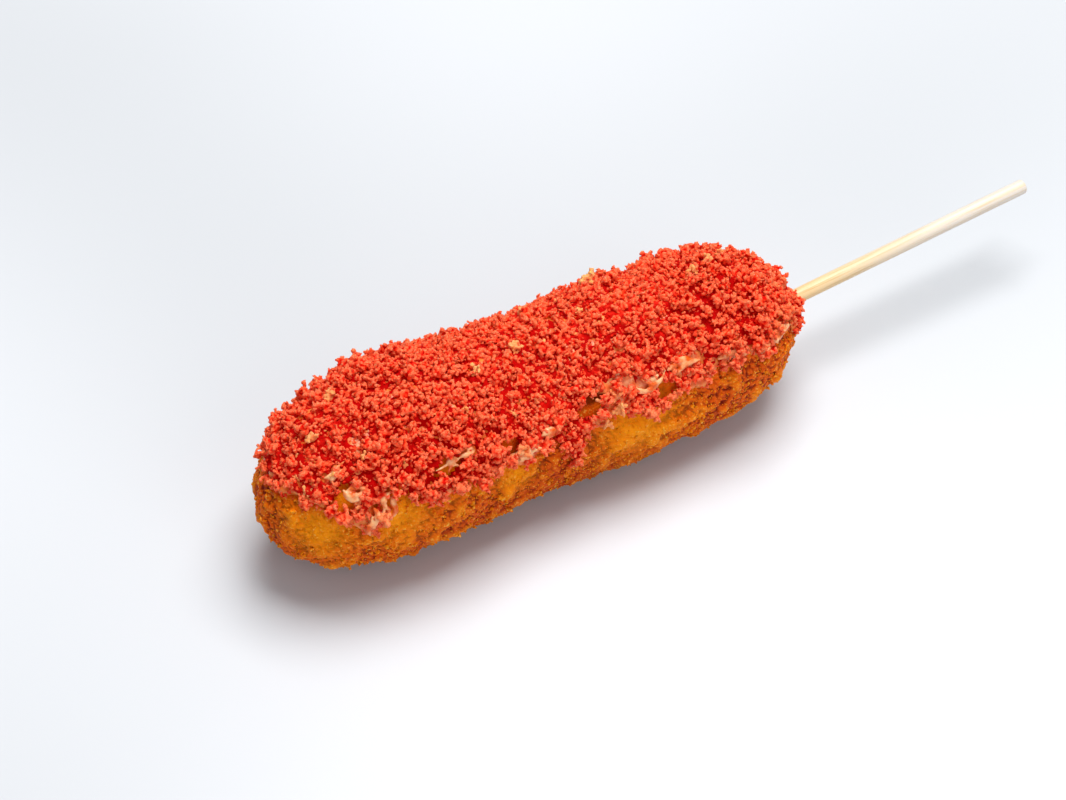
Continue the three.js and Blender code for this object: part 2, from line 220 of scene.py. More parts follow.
@dataclass(frozen=True)
class FoodForm:
    """The food's mean surface and the edges of the layers on it, as the solids have them.

    A place on the food is a station u, from -1 at the free end to 1 at the stick end, and an angle that
    turns from +Y towards +Z.
    """

    length: float = 146 * MM
    radii: Profile = (
        (-73 * MM, 23.8 * MM),
        (-40 * MM, 23.2 * MM),
        (-5 * MM, 20.9 * MM),
        (30 * MM, 21.3 * MM),
        (73 * MM, 22.5 * MM),
    )
    side_bend: float = 3.2 * MM
    bend_balance: float = 0.38
    end_squareness: float = 4.0
    flat_sink: float = 1.1 * MM

    coat_tops: Profile = (
        (-64 * MM, 2.9 * MM),
        (-35 * MM, 3.9 * MM),
        (0 * MM, 3.1 * MM),
        (33 * MM, 2.9 * MM),
        (57 * MM, 5.2 * MM),
        (73 * MM, 3.2 * MM),
    )
    coat_thinnest: float = 2.6 * MM
    coat_end_top: float = 2.7 * MM
    coat_lump: float = 1.2 * MM
    coat_lump_size: float = 5.5 * MM

    coat_edge: float = 26.0
    edge_rag: float = 3.2
    edge_rag_size: float = 5 * MM
    stick_end_reach: float = 27.0
    stick_end_x: float = 72 * MM
    stick_end_width: float = 4.5 * MM
    sauce_beyond_coat: float = 1.5
    side_blend: float = 0.3

    near_tongues: tuple[Tongue, ...] = tongues(
        (-66, -5, 4),
        (-51, 11, 4.5),
        (-34, 8, 5),
        (-22, 5, 5),
        (2, 22, 3),
        (14, -9, 5),
        (24, 8, 5),
        (50, -4, 9),
    )
    far_tongues: tuple[Tongue, ...] = tongues(
        (-58, 9, 6), (-40, -6, 6), (-24, 14, 3.5), (-4, 5, 7), (16, 12, 5), (33, -7, 6), (50, 9, 6)
    )
    near_lobes: tuple[Tongue, ...] = tongues(
        (-55, 9, 4), (-45, 5, 3), (-12, 8, 4), (12, 9, 5), (37, 6, 4), (58, 7, 5)
    )
    far_lobes: tuple[Tongue, ...] = tongues((-42, 9, 5), (-10, 6, 4), (31, 10, 5))
    outline_samples: int = 8001

    @property
    def half_length(self) -> float:
        """Half the length of the food."""
        return self.length / 2

    @staticmethod
    def size_at(x: Array, controls: Profile) -> Array:
        """A size that eases from each control to the next along the food.

        Args:
            x: Places along the food.
            controls: Pairs of place and size, in order.

        Returns:
            The size at each place.
        """
        size = np.full(np.shape(x), controls[0][1])
        for (x0, size0), (x1, size1) in zip(controls, controls[1:]):
            size = np.where(x >= x0, size0 + (size1 - size0) * smoothstep(x, x0, x1), size)
        return size

    def radius(self, u: Array) -> Array:
        """Radius of the round section at each station."""
        return self.size_at(u * self.half_length, self.radii)

    def rounding(self, u: Array) -> Array:
        """How far the ends draw a section in, from 1 in the middle to 0 at the tips."""
        return np.sqrt(np.clip(1.0 - np.abs(u) ** self.end_squareness, 0.0, None))

    def outward(self, u: Array, angle: Array) -> Array:
        """Unit directions straight out of the mean surface.

        Args:
            u: Stations.
            angle: Angles round the food.

        Returns:
            One direction for each place.
        """
        radius = self.radius(u)
        across = radius * self.rounding(u)
        direction = np.stack(
            [
                self.end_squareness * np.sign(u) * np.abs(u) ** (self.end_squareness - 1) / self.half_length,
                2 * across * np.cos(angle) / radius**2,
                2 * across * np.sin(angle) / radius**2,
            ],
            axis=-1,
        )
        return direction / np.linalg.norm(direction, axis=-1, keepdims=True)

    def point(self, u: Array, angle: Array, height: Union[Array, float] = 0.0) -> Array:
        """Points a given height outside the mean surface.

        Args:
            u: Stations.
            angle: Angles round the food.
            height: Heights above the mean surface, in metres.

        Returns:
            One point for each place.
        """
        radius = self.radius(u)
        across = radius * self.rounding(u)
        middle = self.side_bend * (self.bend_balance - u * u)
        base = np.stack(
            [
                u * self.half_length,
                middle + across * np.cos(angle),
                radius - self.flat_sink + across * np.sin(angle),
            ],
            axis=-1,
        )
        return base + self.outward(u, angle) * np.asarray(height)[..., None]

    def elevation(self, u: Array, angle: Array) -> Array:
        """Degrees of height round the food: 0 level with its middle line, 90 at the top."""
        return np.degrees(np.arcsin(np.clip(self.rounding(u) * np.sin(angle), -1.0, 1.0)))

    def tongues_at(
        self, x: Array, angle: Array, near: tuple[Tongue, ...], far: tuple[Tongue, ...]
    ) -> Array:
        """The two sides' own tongues, added up and blended over the top of the food.

        Args:
            x: Places along the food.
            angle: Angles round the food.
            near: Tongues of the side that faces -Y.
            far: Tongues of the side that faces +Y.

        Returns:
            Degrees that the edge runs down at each place.
        """
        side = smoothstep(np.cos(angle), -self.side_blend, self.side_blend)
        reach_near = sum(t.reach * bump(x - t.x, t.width) for t in near)
        reach_far = sum(t.reach * bump(x - t.x, t.width) for t in far)
        return reach_near * (1.0 - side) + reach_far * side

    def coat_margin(self, u: Array, angle: Array) -> Array:
        """Degrees inside the coat's rim: above 0 under the coat, below 0 on bare crust.

        Args:
            u: Stations.
            angle: Angles round the food.

        Returns:
            Degrees at each place.
        """
        point = self.point(u, angle)
        x = point[..., 0]
        reach = self.tongues_at(x, angle, self.near_tongues, self.far_tongues)
        short_of_end = np.minimum(0.0, x - self.stick_end_x)
        stick_end = self.stick_end_reach * bump(short_of_end, self.stick_end_width)
        rag = self.edge_rag * noise(point, self.edge_rag_size, Seed.EDGE)
        return self.elevation(u, angle) - self.coat_edge + reach + stick_end + rag

    def sauce_margin(self, u: Array, angle: Array) -> Array:
        """Degrees inside the sauce's rim."""
        lobes = self.tongues_at(u * self.half_length, angle, self.near_lobes, self.far_lobes)
        return self.coat_margin(u, angle) + self.sauce_beyond_coat + lobes

    def coat_top(self, u: Array, angle: Array) -> Array:
        """Height of the coat's outer skin above the mean surface, before its rim thins it.

        Args:
            u: Stations.
            angle: Angles round the food.

        Returns:
            The height at each place.
        """
        point = self.point(u, angle)
        share = self.rounding(u)
        top = self.coat_end_top * (1.0 - share) + self.size_at(point[..., 0], self.coat_tops) * share
        top = top + self.coat_lump * noise(point, self.coat_lump_size, Seed.COAT_LUMP)
        return np.maximum(self.coat_thinnest, top)

    def near_side(self, x: float, rise: float) -> tuple[Array, Array]:
        """Station and angle of a place on the near side, from millimetres along it and degrees up."""
        return np.array([x * MM / self.half_length]), np.array([np.radians(180.0 - rise)])

    def even_stations(self, spacing: float) -> Array:
        """Stations spaced evenly along the food's side outline, tips included.

        Args:
            spacing: Distance between stations, in metres.

        Returns:
            Stations from -1 to 1.
        """
        samples = np.linspace(-1.0, 1.0, self.outline_samples)
        outline = self.point(samples, np.zeros_like(samples))
        steps = np.linalg.norm(np.diff(outline, axis=0), axis=1)
        travelled = np.concatenate([[0.0], np.cumsum(steps)])
        count = int(round(travelled[-1] / spacing))
        return np.interp(np.linspace(0.0, travelled[-1], count + 1), travelled, samples)


# ------------------------------------------------------------------------------------------ meshes

TIP_RANGE = (-0.16, 0.3)
TINY = 1e-12

@dataclass
class Shape:
    """A triangle mesh with numbers stored on its points.

    Attributes:
        points: Places, one per row.
        faces: Point numbers of each triangle.
        marks: Numbers on the points, by name, for the materials.
    """

    points: Array
    faces: Array
    marks: dict[str, Array]

    def tips(self) -> Array:
        """How far each point stands out from its neighbours.

        Returns:
            A number for each point, from 0 in a crease to 1 on a crest.
        """
        first, second, third = self.points[self.faces.T]
        facing = np.cross(second - first, third - first)
        corner = self.faces.T.ravel()
        normal = self.summed(corner, np.tile(facing, (3, 1)))
        normal /= np.linalg.norm(normal, axis=1, keepdims=True) + TINY
        start = np.concatenate([corner, np.roll(self.faces.T, -1, axis=0).ravel()])
        end = np.concatenate([np.roll(self.faces.T, -1, axis=0).ravel(), corner])
        count = np.maximum(np.bincount(start, minlength=len(self.points)), 1)[:, None]
        offset = self.points - self.summed(start, self.points[end]) / count
        length = np.linalg.norm(self.points[start] - self.points[end], axis=1).mean()
        out = np.einsum("ij,ij->i", normal, offset)[:, None] / length
        out = 0.5 * out + 0.5 * self.summed(start, out[end]) / count
        return smoothstep(out[:, 0], *TIP_RANGE)

    def summed(self, places: Array, values: Array) -> Array:
        """Sums of rows of values that belong to the same point."""
        return np.stack([np.bincount(places, column, len(self.points)) for column in values.T], axis=1)

    @staticmethod
    def joined(shapes: list["Shape"]) -> "Shape":
        """One shape that holds all the given ones.

        Args:
            shapes: Shapes with the same marks.

        Returns:
            The joined shape.
        """
        starts = np.cumsum([0] + [len(s.points) for s in shapes[:-1]])
        return Shape(
            np.concatenate([s.points for s in shapes]),
            np.concatenate([s.faces + start for s, start in zip(shapes, starts)]),
            {name: np.concatenate([s.marks[name] for s in shapes]) for name in shapes[0].marks},
        )

    def to_object(self, name: str, smooth: bool = True) -> bpy.types.Object:
        """A Blender mesh object of this shape.

        Args:
            name: Name of the piece.
            smooth: Whether light runs smoothly over its faces.

        Returns:
            The linked object.
        """
        mesh = bpy.data.meshes.new(name)
        mesh.vertices.add(len(self.points))
        mesh.vertices.foreach_set("co", self.points.astype(np.float32).ravel())
        mesh.loops.add(3 * len(self.faces))
        mesh.loops.foreach_set("vertex_index", self.faces.astype(np.int32).ravel())
        mesh.polygons.add(len(self.faces))
        mesh.polygons.foreach_set("loop_start", np.arange(0, 3 * len(self.faces), 3, dtype=np.int32))
        mesh.polygons.foreach_set("use_smooth", np.full(len(self.faces), smooth))
        mesh.update(calc_edges=True)
        for mark, values in self.marks.items():
            kind = "FLOAT" if values.ndim == 1 else "FLOAT_VECTOR"
            field = "value" if values.ndim == 1 else "vector"
            layer = mesh.attributes.new(mark, kind, "POINT")
            layer.data.foreach_set(field, values.astype(np.float32).ravel())
        piece = bpy.data.objects.new(name, mesh)
        bpy.context.scene.collection.objects.link(piece)
        return piece


def put(shape: Shape, name: str, material: bpy.types.Material, slot: str, *nodes: str) -> None:
    """Puts a piece in the scene with its material and its body, and hides the solids that it stands for.

    Args:
        shape: The piece's shape.
        name: Its name.
        material: Its finish.
        slot: A material slot's name; not used.
        *nodes: Names of the solids that it replaces.
    """
    piece = shape.to_object(name)
    piece.data.materials.append(material)
    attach(piece, ROOT_BODY)
    if nodes:
        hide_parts(*nodes)
    LOG.info("%-18s %7d triangles", piece.name, len(piece.data.polygons))


def closed_skin(form: FoodForm, stations: Array, angles: Array, height: PlaceToValue) -> Shape:
    """A closed skin round the food, a given height outside its mean surface, no lower than the floor.

    Args:
        form: The food's form.
        stations: Stations from -1 to 1, tips included.
        angles: Angles round the food, in order.
        height: Gives the height for arrays of stations and angles.

    Returns:
        The skin, with its height and elevation marked.
    """
    rings, sides = len(stations) - 2, len(angles)
    ring_u, ring_angle = np.meshgrid(stations[1:-1], angles, indexing="ij")
    u = np.concatenate([[-1.0], ring_u.ravel(), [1.0]])
    angle = np.concatenate([[0.0], ring_angle.ravel(), [0.0]])
    rise = height(u, angle)
    points = form.point(u, angle, rise)
    points[:, 2] = np.maximum(points[:, 2], 0.0)
    first = 1 + np.arange(rings * sides).reshape(rings, sides)
    turned = np.roll(first, -1, axis=1)
    last = rings * sides + 1
    here, side, ahead, corner = first[:-1], turned[:-1], first[1:], turned[1:]
    turns = ((here, side, corner), (here, corner, ahead))
    quads = np.concatenate([np.stack(turn, -1).reshape(-1, 3) for turn in turns])
    start_fan = np.stack([np.zeros(sides, int), turned[0], first[0]], -1)
    end_fan = np.stack([np.full(sides, last), first[-1], turned[-1]], -1)
    marks = {"rise": rise / MM, "elevation": form.elevation(u, angle)}
    return Shape(points, np.concatenate([quads, start_fan, end_fan]), marks)


def angle_bands(*bands: tuple[float, float, float]) -> Array:
    """Angles round the food from bands of start, end and step in degrees, without the last one's end."""
    parts = [np.linspace(a, b, int(round((b - a) / step)), endpoint=False) for a, b, step in bands]
    return np.radians(np.concatenate(parts))


# ------------------------------------------------------------------------------------------ crumbs

BALL_DETAIL = 2


@dataclass(frozen=True)
class ClumpKind:
    """A kind of clump: small balls stuck to each other, drawn over with one skin.

    Attributes:
        balls: How many balls it has.
        ball: Radius of its balls as a share of the clump's radius.
        closeness: How near the balls sit, as a share of touching distance.
        triangles: How many triangles its skin keeps.
        tries: How many places are tried for each ball, of which the most open one is kept.
        stretch: How much longer than wide it is.
        flatness: How much thinner than wide it is.
    """

    balls: int
    ball: float
    closeness: float
    triangles: int
    tries: int = 1
    stretch: float = 1.0
    flatness: float = 1.0


@dataclass
class ClumpMaker:
    """Makes clumps by growing heaps of balls and shrinking one closed skin on each heap.

    Attributes:
        seed: Seed of its own stream of random numbers.
        voxel: Grain of the skin before it is thinned out, as a share of the clump's radius.
        ball_range: Least and greatest size of a ball, as shares of its kind's.
        neighbours: How many of the nearest balls are looked at to tell how open a place is.
        pull: How strongly balls are drawn to the middle.
        roughness: How far points of the skin are moved at random, as a share of a ball's radius.
    """

    seed: int
    voxel: float = 0.06
    ball_range: tuple[float, float] = (0.6, 1.3)
    neighbours: int = 3
    pull: float = 0.45
    roughness: float = 0.15

    def __post_init__(self) -> None:
        """Starts the stream of random numbers."""
        self.random = np.random.default_rng(self.seed)

    def heap(self, kind: ClumpKind) -> tuple[Array, Array]:
        """Grows one heap of balls, each stuck to an earlier one where there is room.

        Args:
            kind: What to grow.

        Returns:
            Middles and radii of the balls, for a heap of radius 1.
        """
        middles = [np.zeros(3)]
        radii = [kind.ball]
        for _ in range(kind.balls - 1):
            radius = kind.ball * self.random.uniform(*self.ball_range)
            placed = np.array(middles)
            hosts = self.random.integers(len(middles), size=kind.tries)
            ways = self.random.normal(size=(kind.tries, 3))
            ways /= np.linalg.norm(ways, axis=1, keepdims=True)
            tried = placed[hosts] + ways * (np.array(radii)[hosts] + radius)[:, None] * kind.closeness
            gaps = np.linalg.norm(tried[:, None] - placed[None], axis=2)
            nearest = np.sort(gaps, axis=1)[:, : self.neighbours].mean(axis=1)
            score = nearest - self.pull * np.linalg.norm(tried, axis=1)
            middles.append(tried[np.argmax(score)])
            radii.append(radius)
        placed, sizes = np.array(middles), np.array(radii)
        reach = np.max(np.linalg.norm(placed, axis=1) + sizes)
        return placed / reach * np.array([kind.stretch, 1.0, kind.flatness]), sizes / reach

    def clump(self, kind: ClumpKind) -> Shape:
        """Makes one clump.

        Args:
            kind: What to make.

        Returns:
            The clump, about 1 in radius.
        """
        made = self.skinned(*self.heap(kind), self.voxel, kind.triangles)
        made.points += self.random.normal(scale=self.roughness * kind.ball, size=made.points.shape)
        made.marks["tip"] = made.tips()
        return made

    @classmethod
    def skinned(cls, middles: Array, radii: Array, voxel: float, triangles: int) -> Shape:
        """One closed skin round a heap of balls.

        Args:
            middles: Middle of each ball.
            radii: Radius of each ball.
            voxel: Grain of the skin before it is thinned out.
            triangles: How many triangles it keeps.

        Returns:
            The skin.
        """
        source = bmesh.new()
        bmesh.ops.create_icosphere(source, subdivisions=BALL_DETAIL, radius=1.0)
        unit = bpy.data.meshes.new("ball")
        source.to_mesh(unit)
        source.free()
        ball = cls.as_shape(unit)
        bpy.data.meshes.remove(unit)
        points = middles[:, None, :] + ball.points[None] * radii[:, None, None]
        faces = ball.faces[None] + (np.arange(len(radii)) * len(ball.points))[:, None, None]
        mesh = bpy.data.meshes.new("clump")
        mesh.from_pydata(points.reshape(-1, 3).tolist(), [], faces.reshape(-1, 3).tolist())
        piece = bpy.data.objects.new("clump", mesh)
        bpy.context.scene.collection.objects.link(piece)
        skin = piece.modifiers.new("skin", "REMESH")
        skin.mode = "VOXEL"
        skin.voxel_size = voxel
        piece.modifiers.new("cut", "TRIANGULATE")
        whole = len(cls.evaluated(piece).polygons)
        piece.modifiers.new("thin", "DECIMATE").ratio = min(1.0, triangles / whole)
        made = cls.as_shape(cls.evaluated(piece))
        bpy.data.objects.remove(piece)
        bpy.data.meshes.remove(mesh)
        return made

    @staticmethod
    def evaluated(piece: bpy.types.Object) -> bpy.types.Mesh:
        """The piece's mesh after its modifiers."""
        return piece.evaluated_get(bpy.context.evaluated_depsgraph_get()).data

    @staticmethod
    def as_shape(mesh: bpy.types.Mesh) -> Shape:
        """The points and triangles of a mesh.

        Args:
            mesh: The mesh.

        Returns:
            The shape.
        """
        points = np.zeros(3 * len(mesh.vertices), np.float32)
        mesh.vertices.foreach_get("co", points)
        mesh.calc_loop_triangles()
        faces = np.zeros(3 * len(mesh.loop_triangles), np.int32)
        mesh.loop_triangles.foreach_get("vertices", faces)
        return Shape(points.reshape(-1, 3).astype(float), faces.reshape(-1, 3).astype(int), {})

    def kinds(self, count: int, kind: ClumpKind) -> list[Shape]:
        """Several different clumps of one kind."""
        return [self.clump(kind) for _ in range(count)]

    def turns(self, count: int) -> Array:
        """Evenly spread random rotations, as matrices.

        Args:
            count: How many.

        Returns:
            An array of count rotation matrices.
        """
        q = self.random.normal(size=(count, 4))
        w, x, y, z = (q / np.linalg.norm(q, axis=1, keepdims=True)).T
        rows = [
            [1 - 2 * (y * y + z * z), 2 * (x * y - w * z), 2 * (x * z + w * y)],
            [2 * (x * y + w * z), 1 - 2 * (x * x + z * z), 2 * (y * z - w * x)],
            [2 * (x * z - w * y), 2 * (y * z + w * x), 1 - 2 * (x * x + y * y)],
        ]
        return np.moveaxis(np.array(rows), -1, 0)

    def spread(
        self, kinds: list[Shape], places: Array, sizes: Array, outward: Array, marks: dict[str, Array]
    ) -> Shape:
        """Copies of the kinds of clump, turned at random, at their places.

        Args:
            kinds: The clumps to choose from.
            places: Middle of each copy.
            sizes: Radius of each copy.
            outward: Direction out of the food at each copy.
            marks: Numbers for each copy, stored on all its points; "lift" grows outwards over a copy.

        Returns:
            One shape of all the copies.
        """
        choice = self.random.integers(len(kinds), size=len(places))
        turns = self.turns(len(places))
        parts = []
        for number, kind in enumerate(kinds):
            picked = np.flatnonzero(choice == number)
            offsets = np.einsum("nij,pj->npi", turns[picked], kind.points) * sizes[picked, None, None]
            points = offsets + places[picked, None, :]
            points[..., 2] = np.maximum(points[..., 2], 0.0)
            starts = np.arange(len(picked)) * len(kind.points)
            faces = (kind.faces[None] + starts[:, None, None]).reshape(-1, 3)
            own = {name: np.repeat(values[picked], len(kind.points)) for name, values in marks.items()}
            own["tip"] = np.tile(kind.marks["tip"], len(picked))
            own["lift"] = own["lift"] + np.einsum("npi,ni->np", offsets, outward[picked]).ravel() / MM
            parts.append(Shape(points.reshape(-1, 3), faces, own))
        return Shape.joined(parts)


@dataclass
class Scatter:
    """Draws places on the food, evenly by area.

    Attributes:
        form: The food's form.
        seed: Seed of its own stream of random numbers.
        outline_step: How closely the food's outline is followed, in metres.
    """

    form: FoodForm
    seed: int
    outline_step: float = 0.25 * MM

    def __post_init__(self) -> None:
        """Starts the stream of random numbers."""
        self.random = np.random.default_rng(self.seed)
        self.stations = self.form.even_stations(self.outline_step)

    def drawn(self, count: int, chance: PlaceToValue) -> tuple[Array, Array]:
        """Places drawn one by one over the whole food, of which some are kept.

        Args:
            count: How many to draw.
            chance: Gives the chance, from 0 to 1, that a drawn place is kept.

        Returns:
            Stations and angles of the kept places.
        """
        steps = self.random.uniform(0, len(self.stations) - 1, count)
        u = np.interp(steps, np.arange(len(self.stations)), self.stations)
        angle = self.random.uniform(0, 2 * np.pi, count)
        even = self.form.rounding(u)
        kept = self.random.uniform(0, 1, count) < even * chance(u, angle)
        return u[kept], angle[kept]

    def spaced(self, draws: int, spacing: float, chance: PlaceToValue) -> tuple[Array, Array]:
        """Drawn places that keep a distance from each other.

        Args:
            draws: How many places to draw.
            spacing: Least distance between two kept places.
            chance: Gives the chance, from 0 to 1, that a drawn place is kept.

        Returns:
            Stations and angles.
        """
        u, angle = self.drawn(draws, chance)
        points = self.form.point(u, angle)
        cells: dict[tuple[int, int, int], list[int]] = {}
        kept: list[int] = []
        around = list(product((-1, 0, 1), repeat=3))
        for number, (i, j, k) in enumerate(np.floor(points / spacing).astype(int).tolist()):
            near = [other for a, b, c in around for other in cells.get((i + a, j + b, k + c), ())]
            if not near or np.min(np.sum((points[near] - points[number]) ** 2, axis=1)) > spacing**2:
                cells.setdefault((i, j, k), []).append(number)
                kept.append(number)
        return u[kept], angle[kept]


# ------------------------------------------------------------------------------------------ shading


def srgb(red: float, green: float, blue: float) -> Colour:
    """A colour as light values, from its everyday values.

    Args:
        red: Red, from 0 to 255.
        green: Green.
        blue: Blue.

    Returns:
        The colour's light values.
    """

    def light(value: float) -> float:
        """One channel as a light value."""
        share = value / 255
        return share / 12.92 if share <= 0.04045 else ((share + 0.055) / 1.055) ** 2.4

    return light(red), light(green), light(blue)


Value = Union["Signal", float, tuple, int, str, bool]


class Signal:
    """A shader socket that can stand in arithmetic, alone or with numbers."""

    def __init__(self, web: "ShaderWeb", socket: bpy.types.NodeSocket) -> None:
        """Wraps one output socket.

        Args:
            web: The web of nodes that it belongs to.
            socket: The output socket.
        """
        self.web = web
        self.socket = socket

    def __add__(self, other: Value) -> "Signal":
        """This plus another."""
        return self.web.maths("ADD", self, other)

    def __radd__(self, other: Value) -> "Signal":
        """A number plus this."""
        return self.web.maths("ADD", other, self)

    def __sub__(self, other: Value) -> "Signal":
        """This less another."""
        return self.web.maths("SUBTRACT", self, other)

    def __rsub__(self, other: Value) -> "Signal":
        """A number less this."""
        return self.web.maths("SUBTRACT", other, self)

    def __mul__(self, other: Value) -> "Signal":
        """This times another."""
        return self.web.maths("MULTIPLY", self, other)

    def __rmul__(self, other: Value) -> "Signal":
        """A number times this."""
        return self.web.maths("MULTIPLY", other, self)

    def eased(self, low: float, high: float) -> "Signal":
        """Eases from 0 at low to 1 at high.

        Args:
            low: Where the result leaves 0.
            high: Where the result reaches 1.

        Returns:
            The eased signal.
        """
        inputs = {"Value": self, "From Min": low, "From Max": high}
        return self.web.node("ShaderNodeMapRange", {"interpolation_type": "SMOOTHSTEP"}, inputs, "Result")


class ShaderWeb:
    """A material's web of nodes."""

    def __init__(self, name: str) -> None:
        """Starts an empty material.

        Args:
            name: The material's name.
        """
        self.material = bpy.data.materials.new(name)
        self.material.use_nodes = True
        self.tree = self.material.node_tree
        self.tree.nodes.clear()
        self.place = self.node("ShaderNodeTexCoord", {}, {}, "Object")

    def node(self, kind: str, settings: dict[str, object], inputs: dict[str, Value], output: str) -> Signal:
        """Adds a node.

        Args:
            kind: The node's type.
            settings: Its settings, set before its sockets.
            inputs: Values or signals of its sockets, by identifier.
            output: Identifier of the output socket to use.

        Returns:
            The signal from that output.
        """
        node = self.tree.nodes.new(kind)
        for key, value in settings.items():
            setattr(node, key, value)
        for key, value in inputs.items():
            socket = next(s for s in node.inputs if s.identifier == key)
            if isinstance(value, Signal):
                self.tree.links.new(value.socket, socket)
            else:
                socket.default_value = (*value, 1.0) if socket.type == "RGBA" else value
        return Signal(self, next(s for s in node.outputs if s.identifier == output))

    def maths(self, operation: str, first: Value, second: Value) -> Signal:
        """Adds a Math node for two values."""
        inputs = {"Value": first, "Value_001": second}
        return self.node("ShaderNodeMath", {"operation": operation}, inputs, "Value")

    def blend(self, share: Value, first: Value, second: Value) -> Signal:
        """Blends two colours.

        Args:
            share: How much of the second colour there is.
            first: The first colour.
            second: The second colour.

        Returns:
            The blended colour.
        """
        settings = {"data_type": "RGBA", "blend_type": "MIX", "clamp_factor": True}
        inputs = {"Factor_Float": share, "A_Color": first, "B_Color": second}
        return self.node("ShaderNodeMix", settings, inputs, "Result_Color")

    def noise(
        self, size: float, detail: float = 3.0, roughness: float = 0.5, place: Union["Signal", None] = None
    ) -> Signal:
        """Noise from 0 to 1 whose lumps are about `size` metres across.

        Args:
            size: Width of a lump.
            detail: How many finer layers it has.
            roughness: How strong the finer layers are.
            place: Where it is read; the piece's own place when left out.

        Returns:
            The noise.
        """
        where = place or self.place
        inputs = {"Vector": where, "Scale": 1 / size, "Detail": detail, "Roughness": roughness}
        return self.node("ShaderNodeTexNoise", {}, inputs, "Fac")

    def mark(self, name: str, output: str = "Fac") -> Signal:
        """A number stored on the mesh."""
        return self.node("ShaderNodeAttribute", {"attribute_name": name}, {}, output)

    def relief(self, height: Signal, strength: float, distance: float) -> Signal:
        """Bumps of a given height in metres."""
        inputs = {"Height": height, "Strength": strength, "Distance": distance}
        return self.node("ShaderNodeBump", {}, inputs, "Normal")

    def surface(self, inputs: dict[str, Value]) -> bpy.types.Material:
        """Ends the web in a surface.

        Args:
            inputs: Values or signals of the surface's sockets.

        Returns:
            The material.
        """
        shader = self.node("ShaderNodeBsdfPrincipled", {}, inputs, "BSDF")
        end = self.tree.nodes.new("ShaderNodeOutputMaterial")
        self.tree.links.new(shader.socket, end.inputs["Surface"])
        return self.material


# ------------------------------------------------------------------------------------------ finishes


@dataclass(frozen=True)
class CrustFinish:
    """Deep-fried breadcrumb crust of amber: painted light and glints on crests, painted shade in creases and
    below, a little oil.

    The mark "lift" is a place's height in millimetres and "tip" tells its crests from its creases.
    """

    # Painted shade in creases and low places.
    crease: Colour = srgb(118, 16, 0)
    amber: Colour = srgb(226, 86, 0)
    # Painted light: gold on raised places and crests.
    gold: Colour = srgb(250, 138, 10)
    # Painted glints on crests.
    pale: Colour = srgb(255, 196, 84)
    # Painted shade underneath and along the lower middle.
    brown: Colour = srgb(164, 48, 0)
    glow: Colour = srgb(255, 152, 4)
    broad_size: float = 7 * MM
    fine_size: float = 0.8 * MM
    speckle_size: float = 0.55 * MM
    fine_roughness: float = 0.6
    fine_lift: float = 1.2
    # Where painted crease shade gives way to amber.
    amber_lift: Range = (-1.3, -0.1)
    amber_tip: Range = (0.0, 0.42)
    # Painted light on raised places, in broad patches.
    gold_lift: Range = (-0.1, 1.3)
    gold_patch: Range = (0.35, 0.65)
    gold_least: float = 0.45
    glow_least: float = 0.5
    # Painted light on crests.
    crest_light_tip: Range = (0.5, 0.9)
    crest_light_share: float = 0.5
    # Painted glints: pale specks on crests.
    glint_range: Range = (0.54, 0.7)
    glint_tip: Range = (0.25, 0.75)
    glint_share: float = 0.75
    smoothest: float = 0.45
    roughening: float = 0.3
    speckle_bump: float = 0.6
    bump_strength: float = 0.9
    bump_depth: float = 0.4 * MM
    depth_weight: float = 0.25
    depth_radius: tuple[float, float, float] = (1.0, 0.35, 0.06)
    depth_scale: float = 0.9 * MM
    shine: float = 0.07

    def material(self) -> bpy.types.Material:
        """The crust's material.

        Returns:
            The material.
        """
        web = ShaderWeb("fried_crust")
        broad = web.noise(self.broad_size)
        fine = web.noise(self.fine_size, roughness=self.fine_roughness)
        speckle = web.noise(self.speckle_size, detail=1.0)
        lift = web.mark("lift") + self.fine_lift * fine - 0.5 * self.fine_lift
        tip = web.mark("tip")
        # Painted shade: crease brown in creases and low places, amber elsewhere.
        low = lift.eased(*self.amber_lift) * tip.eased(*self.amber_tip)
        colour = web.blend(low, self.crease, self.amber)
        # Painted light: gold on raised places, in broad patches.
        patches = self.gold_least + broad.eased(*self.gold_patch)
        colour = web.blend(lift.eased(*self.gold_lift) * patches, colour, self.gold)
        # Painted shade underneath and along the lower middle.
        colour = web.blend(web.mark("brown_shade"), colour, self.brown)
        colour = web.blend(web.mark("glow") * (self.glow_least + fine), colour, self.glow)
        # Painted light on crests.
        colour = web.blend(tip.eased(*self.crest_light_tip) * self.crest_light_share, colour, self.gold)
        # Painted glints: pale specks on crests.
        grains = speckle.eased(*self.glint_range) * tip.eased(*self.glint_tip)
        colour = web.blend(grains * self.glint_share, colour, self.pale)
        bumps = fine + self.speckle_bump * speckle
        return web.surface(
            {
                "Base Color": colour,
                "Roughness": self.smoothest + self.roughening * fine,
                "Normal": web.relief(bumps, self.bump_strength, self.bump_depth),
                "Subsurface Weight": self.depth_weight,
                "Subsurface Radius": self.depth_radius,
                "Subsurface Scale": self.depth_scale,
                "Specular IOR Level": self.shine,
            }
        )


